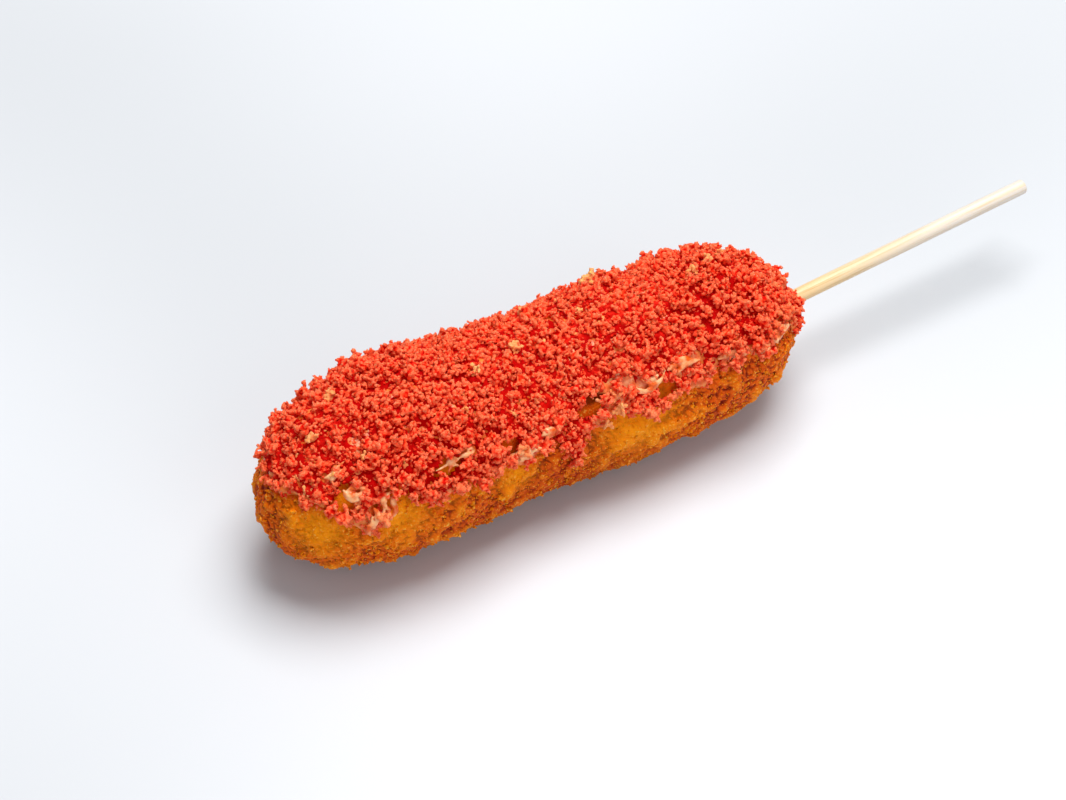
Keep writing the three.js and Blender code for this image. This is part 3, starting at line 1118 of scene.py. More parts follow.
@dataclass(frozen=True)
class CrumbFinish:
    """Puffed crumbs coated red: painted coral light and pale painted highlight on crests, deep red painted
    shade in the gaps.

    The mark "lift" is a place's height in millimetres and "tip" tells its crests from its creases.
    """

    # Painted shade: deep red in gaps and low places, also the colour of the faint painted glow; crevice red
    # is the painted shade in creases.
    deep: Colour = srgb(178, 0, 0)
    crevice_shade: Colour = srgb(208, 6, 0)
    red: Colour = srgb(252, 46, 26)
    # Painted light: coral on crests and raised places.
    coral: Colour = srgb(255, 95, 56)
    orange: Colour = srgb(255, 84, 22)
    # Pale dust, laid on crests as painted highlight.
    dust_and_highlight: Colour = srgb(255, 150, 106)
    peach: Colour = srgb(255, 154, 96)
    yellow: Colour = srgb(255, 200, 122)
    patch_size: float = 2.6 * MM
    fine_size: float = 0.42 * MM
    fine_roughness: float = 0.65
    # Painted shade and light follow the height mark: deep red low down, coral on raised crests.
    red_lift: Range = (-1.8, -0.2)
    orange_lift: Range = (-1.5, 0.5)
    orange_share: float = 0.4
    # Painted light: where coral lies on crests and raised places.
    coral_tip: Range = (0.2, 0.9)
    coral_lift: Range = (-1.4, 0.6)
    coral_least: float = 0.6
    coral_patch: float = 0.8
    # Where the pale dust paints highlight: on crests, in fine specks, on raised places.
    dust_highlight_tip: Range = (0.5, 0.95)
    dust_highlight_grain: Range = (0.4, 0.65)
    dust_highlight_lift: Range = (-0.8, 0.8)
    dust_highlight_share: float = 0.8
    # Painted shade in creases: deep red low down, crevice red higher up.
    gap_shade_lift: Range = (-2.6, -1.0)
    gap_shade_tip: Range = (0.05, 0.5)
    plain_least: float = 0.55
    plain_patch: float = 0.7
    roughness: float = 0.6
    bump_strength: float = 1.0
    bump_depth: float = 0.4 * MM
    depth_weight: float = 0.35
    depth_radius: tuple[float, float, float] = (1.0, 0.15, 0.06)
    depth_scale: float = 1.1 * MM
    shine: float = 0.05
    # Painted glow: deep red emission of this strength that lifts the shade everywhere.
    painted_glow: float = 0.13

    def material(self) -> bpy.types.Material:
        """The crumbs' material.

        Returns:
            The material.
        """
        web = ShaderWeb("puffed_crumb")
        patch = web.noise(self.patch_size)
        fine = web.noise(self.fine_size, roughness=self.fine_roughness)
        lift = web.mark("lift")
        tip = web.mark("tip")
        # Painted shade: deep red on low places, red higher up.
        colour = web.blend(lift.eased(*self.red_lift), self.deep, self.red)
        orange = web.mark("tone") * lift.eased(*self.orange_lift) * self.orange_share
        colour = web.blend(orange, colour, self.orange)
        # Painted light: coral on crests and raised places.
        light = tip.eased(*self.coral_tip) * lift.eased(*self.coral_lift)
        colour = web.blend(light * (self.coral_least + self.coral_patch * patch), colour, self.coral)
        # Pale dust on crests, as painted highlight.
        dust_highlight = tip.eased(*self.dust_highlight_tip) * fine.eased(*self.dust_highlight_grain) * lift.eased(*self.dust_highlight_lift)
        colour = web.blend(dust_highlight * self.dust_highlight_share, colour, self.dust_and_highlight)
        # Painted shade in creases.
        gap_shade = web.blend(lift.eased(*self.gap_shade_lift), self.deep, self.crevice_shade)
        colour = web.blend(tip.eased(*self.gap_shade_tip), gap_shade, colour)
        colour = web.blend(web.mark("sauced"), colour, self.peach)
        plain = web.mark("plain") * (self.plain_least + self.plain_patch * patch)
        colour = web.blend(plain, colour, self.yellow)
        return web.surface(
            {
                "Base Color": colour,
                "Roughness": self.roughness,
                "Normal": web.relief(fine, self.bump_strength, self.bump_depth),
                "Subsurface Weight": self.depth_weight,
                "Subsurface Radius": self.depth_radius,
                "Subsurface Scale": self.depth_scale,
                "Specular IOR Level": self.shine,
                # Painted glow: a faint deep red emission that lifts the shade.
                "Emission Color": self.deep,
                "Emission Strength": self.painted_glow,
            }
        )


@dataclass(frozen=True)
class SauceFinish:
    """Thin creamy sauce that the crumbs have tinted, glossy and a little see-through."""

    cream: Colour = srgb(246, 194, 144)
    peach: Colour = srgb(242, 140, 66)
    tinted: Colour = srgb(220, 88, 14)
    patch_size: float = 2.5 * MM
    peach_patch: Range = (0.35, 0.65)
    cream_patch: Range = (0.35, 0.7)
    cream_share: float = 0.85
    ripple_size: float = 0.8 * MM
    ripple_detail: float = 2.0
    bump_strength: float = 0.4
    bump_depth: float = 0.3 * MM
    roughness: float = 0.3
    depth_weight: float = 0.3
    depth_radius: tuple[float, float, float] = (1.0, 0.5, 0.3)
    depth_scale: float = 1.5 * MM
    coat_weight: float = 0.12
    coat_roughness: float = 0.1
    shine: float = 0.25

    def material(self) -> bpy.types.Material:
        """The sauce's material.

        Returns:
            The material.
        """
        web = ShaderWeb("sauce")
        patch = web.noise(self.patch_size)
        colour = web.blend(patch.eased(*self.peach_patch), self.tinted, self.peach)
        cream = web.mark("cream") * patch.eased(*self.cream_patch) * self.cream_share
        colour = web.blend(cream, colour, self.cream)
        ripples = web.noise(self.ripple_size, detail=self.ripple_detail)
        return web.surface(
            {
                "Base Color": colour,
                "Roughness": self.roughness,
                "Normal": web.relief(ripples, self.bump_strength, self.bump_depth),
                "Subsurface Weight": self.depth_weight,
                "Subsurface Radius": self.depth_radius,
                "Subsurface Scale": self.depth_scale,
                "Coat Weight": self.coat_weight,
                "Specular IOR Level": self.shine,
                "Coat Roughness": self.coat_roughness,
            }
        )


@dataclass(frozen=True)
class BambooFinish:
    """Plain bamboo with fine lengthwise grain, soaked yellow with oil near the food."""

    cream: Colour = srgb(222, 212, 200)
    honey: Colour = srgb(228, 196, 140)
    streak: Colour = srgb(204, 166, 106)
    soaked_range: Range = (-5.0, 60.0)
    fibre_size: float = 0.55 * MM
    fibre_roughness: float = 0.6
    band_size: float = 1.4 * MM
    band_detail: float = 2.0
    band_range: Range = (0.5, 0.75)
    band_share: float = 0.45
    streak_range: Range = (0.48, 0.66)
    streak_dry: float = 0.3
    streak_soaked: float = 0.4
    roughness: float = 0.5
    oiled: float = 0.15
    bump_strength: float = 0.35
    bump_depth: float = 0.15 * MM
    depth_weight: float = 0.1
    depth_radius: tuple[float, float, float] = (1.0, 0.7, 0.4)
    depth_scale: float = 1.0 * MM

    def material(self) -> bpy.types.Material:
        """The stick's material.

        Returns:
            The material.
        """
        web = ShaderWeb("bamboo")
        along_fibre = web.mark("grain", "Vector")
        fibres = web.noise(self.fibre_size, roughness=self.fibre_roughness, place=along_fibre)
        bands = web.noise(self.band_size, detail=self.band_detail, place=along_fibre)
        soaked = 1.0 - web.mark("along").eased(*self.soaked_range)
        colour = web.blend(soaked, self.cream, self.honey)
        colour = web.blend(bands.eased(*self.band_range) * self.band_share, colour, self.honey)
        streaks = fibres.eased(*self.streak_range) * (self.streak_dry + self.streak_soaked * soaked)
        colour = web.blend(streaks, colour, self.streak)
        return web.surface(
            {
                "Base Color": colour,
                "Roughness": self.roughness - self.oiled * soaked,
                "Normal": web.relief(fibres, self.bump_strength, self.bump_depth),
                "Subsurface Weight": self.depth_weight,
                "Subsurface Radius": self.depth_radius,
                "Subsurface Scale": self.depth_scale,
            }
        )


# ------------------------------------------------------------------------------------------ the food


def cut_shell(
    form: FoodForm,
    stations: Array,
    angles: Array,
    inside: PlaceToValue,
    top: PlaceToValue,
    underside: PlaceToValue,
    level: PlaceToValue,
) -> Shape:
    """A closed layer that lies on part of the food, with a top, an underside and a rim.

    Args:
        form: The food's form.
        stations: Stations, tips left out.
        angles: Angles round the food, in order.
        inside: Says which places the layer covers.
        top: Height of its top.
        underside: Height of its underside.
        level: Height that its top is measured from in the mark "rise".

    Returns:
        The layer.
    """
    u, angle = np.meshgrid(stations, angles, indexing="ij")
    covered = inside(u, angle)
    number = np.arange(u.size).reshape(u.shape)
    turned, held = np.roll(number, -1, axis=1), np.roll(covered, -1, axis=1)
    whole = (covered[:-1] & held[:-1] & covered[1:] & held[1:]).ravel()
    grids = (number[:-1], turned[:-1], number[1:], turned[1:])
    here, side, ahead, corner = (grid.ravel()[whole] for grid in grids)
    upper = np.concatenate([np.stack([here, side, corner], -1), np.stack([here, corner, ahead], -1)])
    edges = np.concatenate([upper[:, [0, 1]], upper[:, [1, 2]], upper[:, [2, 0]]])
    codes, backwards = edges[:, 0] * u.size + edges[:, 1], edges[:, 1] * u.size + edges[:, 0]
    start, end = edges[~np.isin(codes, backwards)].T
    below_start, below_end = start + u.size, end + u.size
    lower = upper[:, ::-1] + u.size
    rim = [np.stack([end, start, below_start], -1), np.stack([end, below_start, below_end], -1)]
    faces = np.concatenate([upper, lower, *rim])
    used, renumbered = np.unique(faces, return_inverse=True)
    rise, depth = top(u, angle).ravel(), underside(u, angle).ravel()
    flat_u, flat_angle = u.ravel(), angle.ravel()
    points = [form.point(flat_u, flat_angle, height) for height in (rise, depth)]
    above = rise - level(u, angle).ravel()
    marks = {"rise": np.concatenate([above, above])[used] / MM}
    return Shape(np.concatenate(points)[used], renumbered.reshape(-1, 3), marks)


@dataclass(frozen=True)
class SmoothSpot:
    """A round place on the near side where the crust lies smooth.

    Attributes:
        x: Place along the food, in millimetres.
        rise: Degrees round the food above its middle line.
        radius: Its radius, in millimetres.
    """

    x: float
    rise: float
    radius: float


@dataclass
class FriedBatter:
    """The fried batter: its crust's skin, the larger crags on it and its fine grain."""

    form: FoodForm
    cell: float = 0.62 * MM
    covered_step: float = 4.0
    bare_step: float = 1.6
    covered_angles: Range = (32.0, 148.0)
    lump: float = 0.7 * MM
    lump_size: float = 12 * MM
    crag: float = 1.4 * MM
    crag_size: float = 3.4 * MM
    highest: float = 1.8 * MM
    pit_share: float = 0.5
    bare_range: Range = (1.0, 12.0)
    pressed: Range = (0.86, 0.93)
    grain: float = 0.35 * MM
    grain_size: float = 1.5 * MM
    grit: float = 0.2 * MM
    grit_size: float = 0.8 * MM
    grain_margin: Range = (-2.0, 3.0)
    mean_rise: float = 0.25
    # Painted shade: the lower side darkens by this much.
    under_range: Range = (-5.0, 60.0)
    under_share: float = 0.6
    # Painted shade along the lower middle of the food.
    middle_shade_x: float = 2 * MM
    middle_shade_width: float = 28 * MM
    middle_shade_range: Range = (-30.0, 0.0)
    middle_shade_share: float = 0.3
    glow_share: float = 0.9
    smooth_spots: tuple[SmoothSpot, ...] = (
        SmoothSpot(-64, 20, 8),
        SmoothSpot(-56, 40, 6),
        SmoothSpot(-46, 18, 8),
        SmoothSpot(-31, 30, 6),
        SmoothSpot(-14, 12, 5),
        SmoothSpot(20, 15, 10),
    )

    def smooth(self, point: Array) -> Array:
        """How smooth the crust is at a place.

        Args:
            point: Places, one per row.

        Returns:
            A number for each place, from 0 to 1.
        """
        total = np.zeros(len(point))
        for spot in self.smooth_spots:
            middle = self.form.point(*self.form.near_side(spot.x, spot.rise))[0]
            distance = np.linalg.norm(point - middle, axis=1)
            total = np.maximum(total, bump(distance, spot.radius * MM))
        return total

    def brown_shade(self, point: Array, elevation: Array) -> Array:
        """How much painted brown shade the crust takes: most underneath and along the lower middle.

        Args:
            point: Places, one per row.
            elevation: Degrees of each place above the middle line.

        Returns:
            A number for each place, from 0 to 1.
        """
        # Painted shade: darker underneath and along the lower middle.
        under = self.under_share * smoothstep(-elevation, *self.under_range)
        held = bump(np.abs(point[..., 0] - self.middle_shade_x), self.middle_shade_width)
        return under + self.middle_shade_share * smoothstep(-elevation, *self.middle_shade_range) * held

    def relief(self, u: Array, angle: Array) -> Array:
        """Height of the crust, which lies smooth where sauce covers it and where its weight presses it.

        Args:
            u: Stations.
            angle: Angles round the food.

        Returns:
            Heights above the mean surface.
        """
        point = self.form.point(u, angle)
        lumps = self.lump * noise(point, self.lump_size, Seed.LUMP)
        crags = self.crag * noise(point, self.crag_size, Seed.CRAG)
        relief = np.minimum(self.highest, lumps + crags)
        bare = smoothstep(-self.form.sauce_margin(u, angle), *self.bare_range)
        loose = 1.0 - smoothstep(-np.sin(angle), *self.pressed)
        return loose * np.where(relief > 0, relief * bare, relief * self.pit_share)

    def skin_height(self, u: Array, angle: Array) -> Array:
        """Height of the crust with its grain.

        Args:
            u: Stations.
            angle: Angles round the food.

        Returns:
            Heights above the mean surface.
        """
        point = self.form.point(u, angle)
        loose = 1.0 - smoothstep(-self.form.outward(u, angle)[..., 2], *self.pressed)
        bare = smoothstep(-self.form.coat_margin(u, angle), *self.grain_margin)
        grain = self.grain * cell_domes(point, self.grain_size, Seed.CRUST_GRAIN)
        grit = self.grit * cell_domes(point, self.grit_size, Seed.CRUST_GRIT)
        return self.relief(u, angle) + loose * bare * (grain + grit)

    def build(self) -> Shape:
        """The closed skin of the whole body.

        Returns:
            The skin.
        """
        stations = self.form.even_stations(self.cell)
        first, last = self.covered_angles
        angles = angle_bands((first, last, self.covered_step), (last, first + 360, self.bare_step))
        skin = closed_skin(self.form, stations, angles, self.skin_height)
        # Painted brown shade underneath and along the lower middle.
        brown_shade = self.brown_shade(skin.points, skin.marks["elevation"])
        glow = self.glow_share * self.smooth(skin.points)
        lift = skin.marks["rise"] - self.mean_rise
        skin.marks = {"brown_shade": brown_shade, "lift": lift, "glow": glow, "tip": skin.tips()}
        return skin

    def dress(self, finish: bpy.types.Material) -> None:
        """Puts the skin in the scene with its finish."""
        put(self.build(), "batter_crust", finish, "fried_crust", "fried_batter")


@dataclass(frozen=True)
class ClumpSize:
    """One size of clump that is spread over the food.

    Attributes:
        name: Name of its piece.
        seed: Seed of its random numbers.
        kind: What the clumps are like.
        radius: Least and greatest radius.
        spacing: Least distance between two clumps.
        draws: How many places to try.
    """

    name: str
    seed: int
    kind: ClumpKind
    radius: Range
    spacing: float
    draws: int


@dataclass(frozen=True)
class BreadcrumbSize(ClumpSize):
    """One size of breadcrumb fried onto the crust.

    Attributes:
        smooth_share: Chance on the smooth spots.
        high_share: Chance high on the sides.
        sink: How deep a clump's middle sits, as a share of its radius.
    """

    smooth_share: float
    high_share: float
    sink: float


LUMP_KIND = ClumpKind(balls=14, ball=0.36, closeness=0.84, triangles=130, tries=3)
NUB_KIND = ClumpKind(balls=6, ball=0.42, closeness=0.84, triangles=38, tries=2)
GRAIN_KIND = ClumpKind(balls=2, ball=0.6, closeness=0.8, triangles=14)

BREADCRUMB_SIZES = (
    BreadcrumbSize("crust_lumps", 71, LUMP_KIND, (1.1 * MM, 2.1 * MM), 3.0 * MM, 30000, 0.05, 0.35, 0.2),
    BreadcrumbSize("crust_nubs", 75, NUB_KIND, (0.6 * MM, 1.1 * MM), 1.75 * MM, 40000, 0.2, 0.7, 0.1),
    BreadcrumbSize(
        "crust_grains", 73, GRAIN_KIND, (0.34 * MM, 0.58 * MM), 0.84 * MM, 90000, 0.7, 0.95, -0.3
    ),
)


@dataclass
class Breadcrumbs:
    """Breadcrumbs fried onto the batter: ragged lumps, smaller ones between them and fine grains.

    Attributes:
        form: The food's form.
        batter: The batter they sit on.
        raised: How much higher than the skin they count, in millimetres, which lightens them.
        free_range: How far down the surface faces, over which the floor leaves no room for them.
        bare_margin: Degrees below the coat's rim over which they begin.
        high_range: Degrees above the middle line over which they grow rarer.
        brown_shade_range: How much less or more painted brown shade than the skin a crumb takes, at random.
        glow_share: How strongly they glow on the smooth spots.
        variants: How many different clumps of a size there are.
    """

    form: FoodForm
    batter: FriedBatter
    raised: float = 0.4
    free_range: Range = (0.82, 0.92)
    bare_margin: Range = (-2.0, 4.0)
    high_range: Range = (-10.0, 12.0)
    brown_shade_range: Range = (-0.3, 0.25)
    glow_share: float = 0.6
    variants: int = 10

    def bare(self, u: Array, angle: Array) -> Array:
        """How bare of coat and free of the floor a place is, from 0 to 1."""
        free = 1.0 - smoothstep(-self.form.outward(u, angle)[..., 2], *self.free_range)
        return free * smoothstep(-self.form.coat_margin(u, angle), *self.bare_margin)

    def build(self, size: BreadcrumbSize) -> Shape:
        """One size of breadcrumb, spread over the bare crust.

        Args:
            size: The size.

        Returns:
            The breadcrumbs.
        """
        maker = ClumpMaker(size.seed)

        def chance(u: Array, angle: Array) -> Array:
            """Chance that a place takes a clump.

            Args:
                u: Stations.
                angle: Angles round the food.

            Returns:
                A chance for each place, from 0 to 1.
            """
            low = 1.0 - smoothstep(self.form.elevation(u, angle), *self.high_range)
            even = size.high_share + (1.0 - size.high_share) * low
            smooth = self.batter.smooth(self.form.point(u, angle))
            return self.bare(u, angle) * even * (1.0 - (1.0 - size.smooth_share) * smooth)

        u, angle = Scatter(self.form, size.seed + 1).spaced(size.draws, size.spacing, chance)
        radius = maker.random.uniform(*size.radius, len(u))
        places = self.form.point(u, angle, self.batter.relief(u, angle) - size.sink * radius)
        # Painted brown shade as on the batter below, with a random tone for each crumb.
        brown_shade = self.batter.brown_shade(places, self.form.elevation(u, angle))
        brown_shade = np.clip(brown_shade + maker.random.uniform(*self.brown_shade_range, len(u)), 0, 1)
        glow = self.glow_share * self.batter.smooth(places)
        marks = {"brown_shade": brown_shade, "lift": np.full(len(u), self.raised), "glow": glow}
        kinds = maker.kinds(self.variants, size.kind)
        return maker.spread(kinds, places, radius, self.form.outward(u, angle), marks)

    def dress(self, finish: bpy.types.Material) -> None:
        """Puts every size in the scene with its finish."""
        for size in BREADCRUMB_SIZES:
            put(self.build(size), size.name, finish, "fried_crust")


@dataclass(frozen=True)
class Smear:
    """A long spot on the near side, where sauce shows or where the coat is open.

    Attributes:
        x: Place along the food, in millimetres.
        rise: Degrees round the food above its middle line.
        length: Its half length, in millimetres.
        width: Its half width, in millimetres.
        turn: Degrees it is turned from the food's length.
    """

    x: float
    rise: float
    length: float
    width: float
    turn: float


SMEARS = (
    Smear(-57, 60, 2.4, 0.8, 30),
    Smear(-54, 43, 2.4, 1.2, -30),
    Smear(-52, 24, 2.6, 1.3, 60),
    Smear(-47.5, 30, 3.2, 2.0, 70),
    Smear(-31, 38, 2.2, 1.2, 10),
    Smear(-25.5, 41, 1.8, 1.1, 0),
    Smear(-12, 28, 3.0, 2.2, 10),
    Smear(-4, 34, 2.0, 1.2, -20),
    Smear(16, 42, 5.0, 3.0, 15),
    Smear(24, 40, 3.0, 2.0, 0),
    Smear(34.5, 43, 3.8, 2.2, 10),
    Smear(47, 36, 2.6, 1.6, 0),
    Smear(56, 30, 3.4, 1.0, 25),
    Smear(62, 36, 3.0, 0.9, 30),
)

WINDOWS = (
    Smear(-56.4, 41, 3.4, 2.5, 60),
    Smear(-46.5, 27, 4.2, 3.0, 20),
    Smear(-31, 37, 3.4, 2.2, 10),
    Smear(-14.5, 36, 2.8, 1.9, 0),
    Smear(8, 39, 3.0, 1.8, 20),
    Smear(28, 31, 3.2, 1.8, 0),
)


@dataclass
class Sauce:
    """The sauce between batter and crumbs, and the threads of it that show."""

    form: FoodForm
    cell: float = 0.9 * MM
    angle_step: float = 2.4
    underside: float = 0.6 * MM
    full_top: float = 1.5 * MM
    thinnest: float = 0.3 * MM
    ripple: float = 0.35 * MM
    ripple_size: float = 2.4 * MM
    rim_range: Range = (-5.0, 0.0)
    rim_depth: float = 1.6 * MM
    cut_margin: float = -4.5
    run: float = 6.0
    run_size: float = 2.6 * MM
    run_back: float = 4.0
    smear_reach: float = 3.0
    window: float = 60.0
    spot_rag: float = 0.35
    spot_rag_size: float = 1.6 * MM
    spot_range: Range = (0.7, 1.4)
    cream_share: float = 0.8
    thread_seed: int = 44
    threads: int = 4
    beads: int = 14
    thread_start: Range = (0.35, 0.5)
    thread_bend: float = 0.9
    thread_reach: Range = (0.5, 1.1)
    thread_radius: Range = (0.28 * MM, 0.75 * MM)
    thread_swell: float = 1.15
    thread_taper: float = 0.7
    bead_range: Range = (0.8, 1.2)
    thread_lift: float = 1.0 * MM
    thread_voxel: float = 0.2 * MM
    thread_triangles: int = 14000
    round_radius: float = 25 * MM

    def layer_height(self, margin: Array, full: Array) -> Array:
        """Height of a layer, which dives below the crust at its rim.

        Args:
            margin: Degrees inside the layer's rim.
            full: Its height well inside.

        Returns:
            Its height.
        """
        share = smoothstep(margin, *self.rim_range)
        return -self.rim_depth * (1.0 - share) + full * share

    def smeared(self, point: Array) -> Array:
        """How much of the sauce's smears shows at a place, from 0 to 1."""
        return self.spotted(point, SMEARS)

    def spotted(self, point: Array, spots: tuple[Smear, ...]) -> Array:
        """How far a place is inside any of some ragged spots, from 0 to 1.

        Args:
            point: Places, one per row.
            spots: The spots.

        Returns:
            One number for each place.
        """
        total = np.zeros(point.shape[:-1])
        ragged = self.spot_rag * noise(point, self.spot_rag_size, Seed.SPOT_EDGE)
        for spot in spots:
            offset = point - self.form.point(*self.form.near_side(spot.x, spot.rise))[0]
            along = offset[..., 0]
            across = np.sqrt(offset[..., 1] ** 2 + offset[..., 2] ** 2) * np.sign(offset[..., 2])
            turn = math.radians(spot.turn)
            long_way = (along * math.cos(turn) + across * math.sin(turn)) / (spot.length * MM)
            short_way = (across * math.cos(turn) - along * math.sin(turn)) / (spot.width * MM)
            distance = np.hypot(long_way, short_way) + ragged
            total = np.maximum(total, 1.0 - smoothstep(distance, *self.spot_range))
        return total

    def margin(self, u: Array, angle: Array) -> Array:
        """Degrees inside the sauce's rim, with its small runs.

        Args:
            u: Stations.
            angle: Angles round the food.

        Returns:
            Degrees at each place.
        """
        point = self.form.point(u, angle)
        runs = self.run * noise(point, self.run_size, Seed.SAUCE_RUNS) - self.run_back
        runs = runs + self.smear_reach * self.smeared(point)
        runs = runs - self.window * self.spotted(point, WINDOWS)
        return self.form.sauce_margin(u, angle) + runs

    def top(self, u: Array, angle: Array) -> Array:
        """Height of the sauce's top.

        Args:
            u: Stations.
            angle: Angles round the food.

        Returns:
            The height at each place.
        """
        point = self.form.point(u, angle)
        full = self.full_top + self.ripple * noise(point, self.ripple_size, Seed.SAUCE_TOP)
        return self.layer_height(self.margin(u, angle), full)

    def build(self) -> Shape:
        """The layer.

        Returns:
            The layer, with its smears marked.
        """
        shell = cut_shell(
            self.form,
            self.form.even_stations(self.cell)[1:-1],
            angle_bands((0, 360, self.angle_step)),
            inside=lambda u, angle: self.margin(u, angle) > self.cut_margin,
            top=self.top,
            underside=lambda u, angle: np.minimum(self.underside, self.top(u, angle) - self.thinnest),
            level=lambda u, angle: np.zeros(u.shape),
        )
        shell.marks["cream"] = self.cream_share * self.smeared(shell.points)
        return shell

    def strands(self) -> Shape:
        """Threads and drops of sauce drawn out over each smear.

        Returns:
            All of them, as one shape.
        """
        maker = np.random.default_rng(self.thread_seed)
        middles: list[Array] = []
        radii: list[float] = []
        along_share, across_share = self.thread_start
        for smear in SMEARS:
            for _ in range(self.threads):
                start = maker.normal(size=2) * (along_share * smear.length, across_share * smear.width)
                bend = maker.uniform(-self.thread_bend, self.thread_bend)
                reach = smear.length * maker.uniform(*self.thread_reach)
                thick = maker.uniform(*self.thread_radius)
                for share in np.linspace(-1.0, 1.0, self.beads):
                    along = start[0] + reach * share
                    across = start[1] + bend * reach * (share * share - 0.5)
                    middles.append(self.bead_place(smear, along, across))
                    taper = self.thread_swell - self.thread_taper * share * share
                    radii.append(thick * taper * maker.uniform(*self.bead_range))
        balls = np.array(middles), np.array(radii)
        made = ClumpMaker.skinned(*balls, self.thread_voxel, self.thread_triangles)
        made.marks = {"cream": np.ones(len(made.points))}
        return made

    def bead_place(self, smear: Smear, along: float, across: float) -> Array:
        """Where a bead sits over a smear.

        Args:
            smear: The smear.
            along: Millimetres from its middle along its length.
            across: Millimetres from its middle across it.

        Returns:
            The bead's middle.
        """
        turn = math.radians(smear.turn)
        x = smear.x + along * math.cos(turn) - across * math.sin(turn)
        round_way = along * math.sin(turn) + across * math.cos(turn)
        rise = math.radians(smear.rise) + round_way * MM / self.round_radius
        u, angle = np.array([x * MM / self.form.half_length]), np.array([math.pi - rise])
        return self.form.point(u, angle, self.full_top + self.thread_lift)[0]

    def dress(self, finish: bpy.types.Material) -> None:
        """Puts the layer and its threads in the scene with their finish."""
        put(self.build(), "sauce_layer", finish, "sauce", "sauce")
        put(self.strands(), "sauce_strands", finish, "sauce")


@dataclass(frozen=True)
class CrumbSize(ClumpSize):
    """One size of clump in the coat.

    Attributes:
        lift: Least and greatest height over the support.
        rim: Margins in degrees where clumps begin and where they are at their densest.
        hollow: How much rarer they are in the coat's gaps.
    """

    lift: Range
    rim: Range
    hollow: float


LARGE_KIND = ClumpKind(balls=30, ball=0.26, closeness=0.8, triangles=400, tries=5)
MIDDLE_KIND = ClumpKind(balls=12, ball=0.36, closeness=0.8, triangles=120, tries=4)
SMALL_KIND = ClumpKind(balls=4, ball=0.55, closeness=0.8, triangles=26, tries=2)
LARGE_LIFT, MIDDLE_LIFT, SMALL_LIFT = (-0.4 * MM, 0.9 * MM), (-1.2 * MM, 0.6 * MM), (-1.7 * MM, 0.2 * MM)
LARGE_RIM, MIDDLE_RIM, SMALL_RIM = (-3.0, 1.0), (-5.0, -1.0), (-9.0, 2.0)

CRUMB_SIZES = (
    CrumbSize(
        "crumbs_large", 81, LARGE_KIND, (2.1 * MM, 3.3 * MM), 3.1 * MM, 60000,
        LARGE_LIFT, LARGE_RIM, 0.85,
    ),
    CrumbSize(
        "crumbs_middle", 83, MIDDLE_KIND, (1.2 * MM, 2.0 * MM), 1.65 * MM, 60000,
        MIDDLE_LIFT, MIDDLE_RIM, 0.7,
    ),
    CrumbSize(
        "crumbs_small", 85, SMALL_KIND, (0.55 * MM, 1.05 * MM), 0.9 * MM, 60000,
        SMALL_LIFT, SMALL_RIM, 0.0,
    ),
)


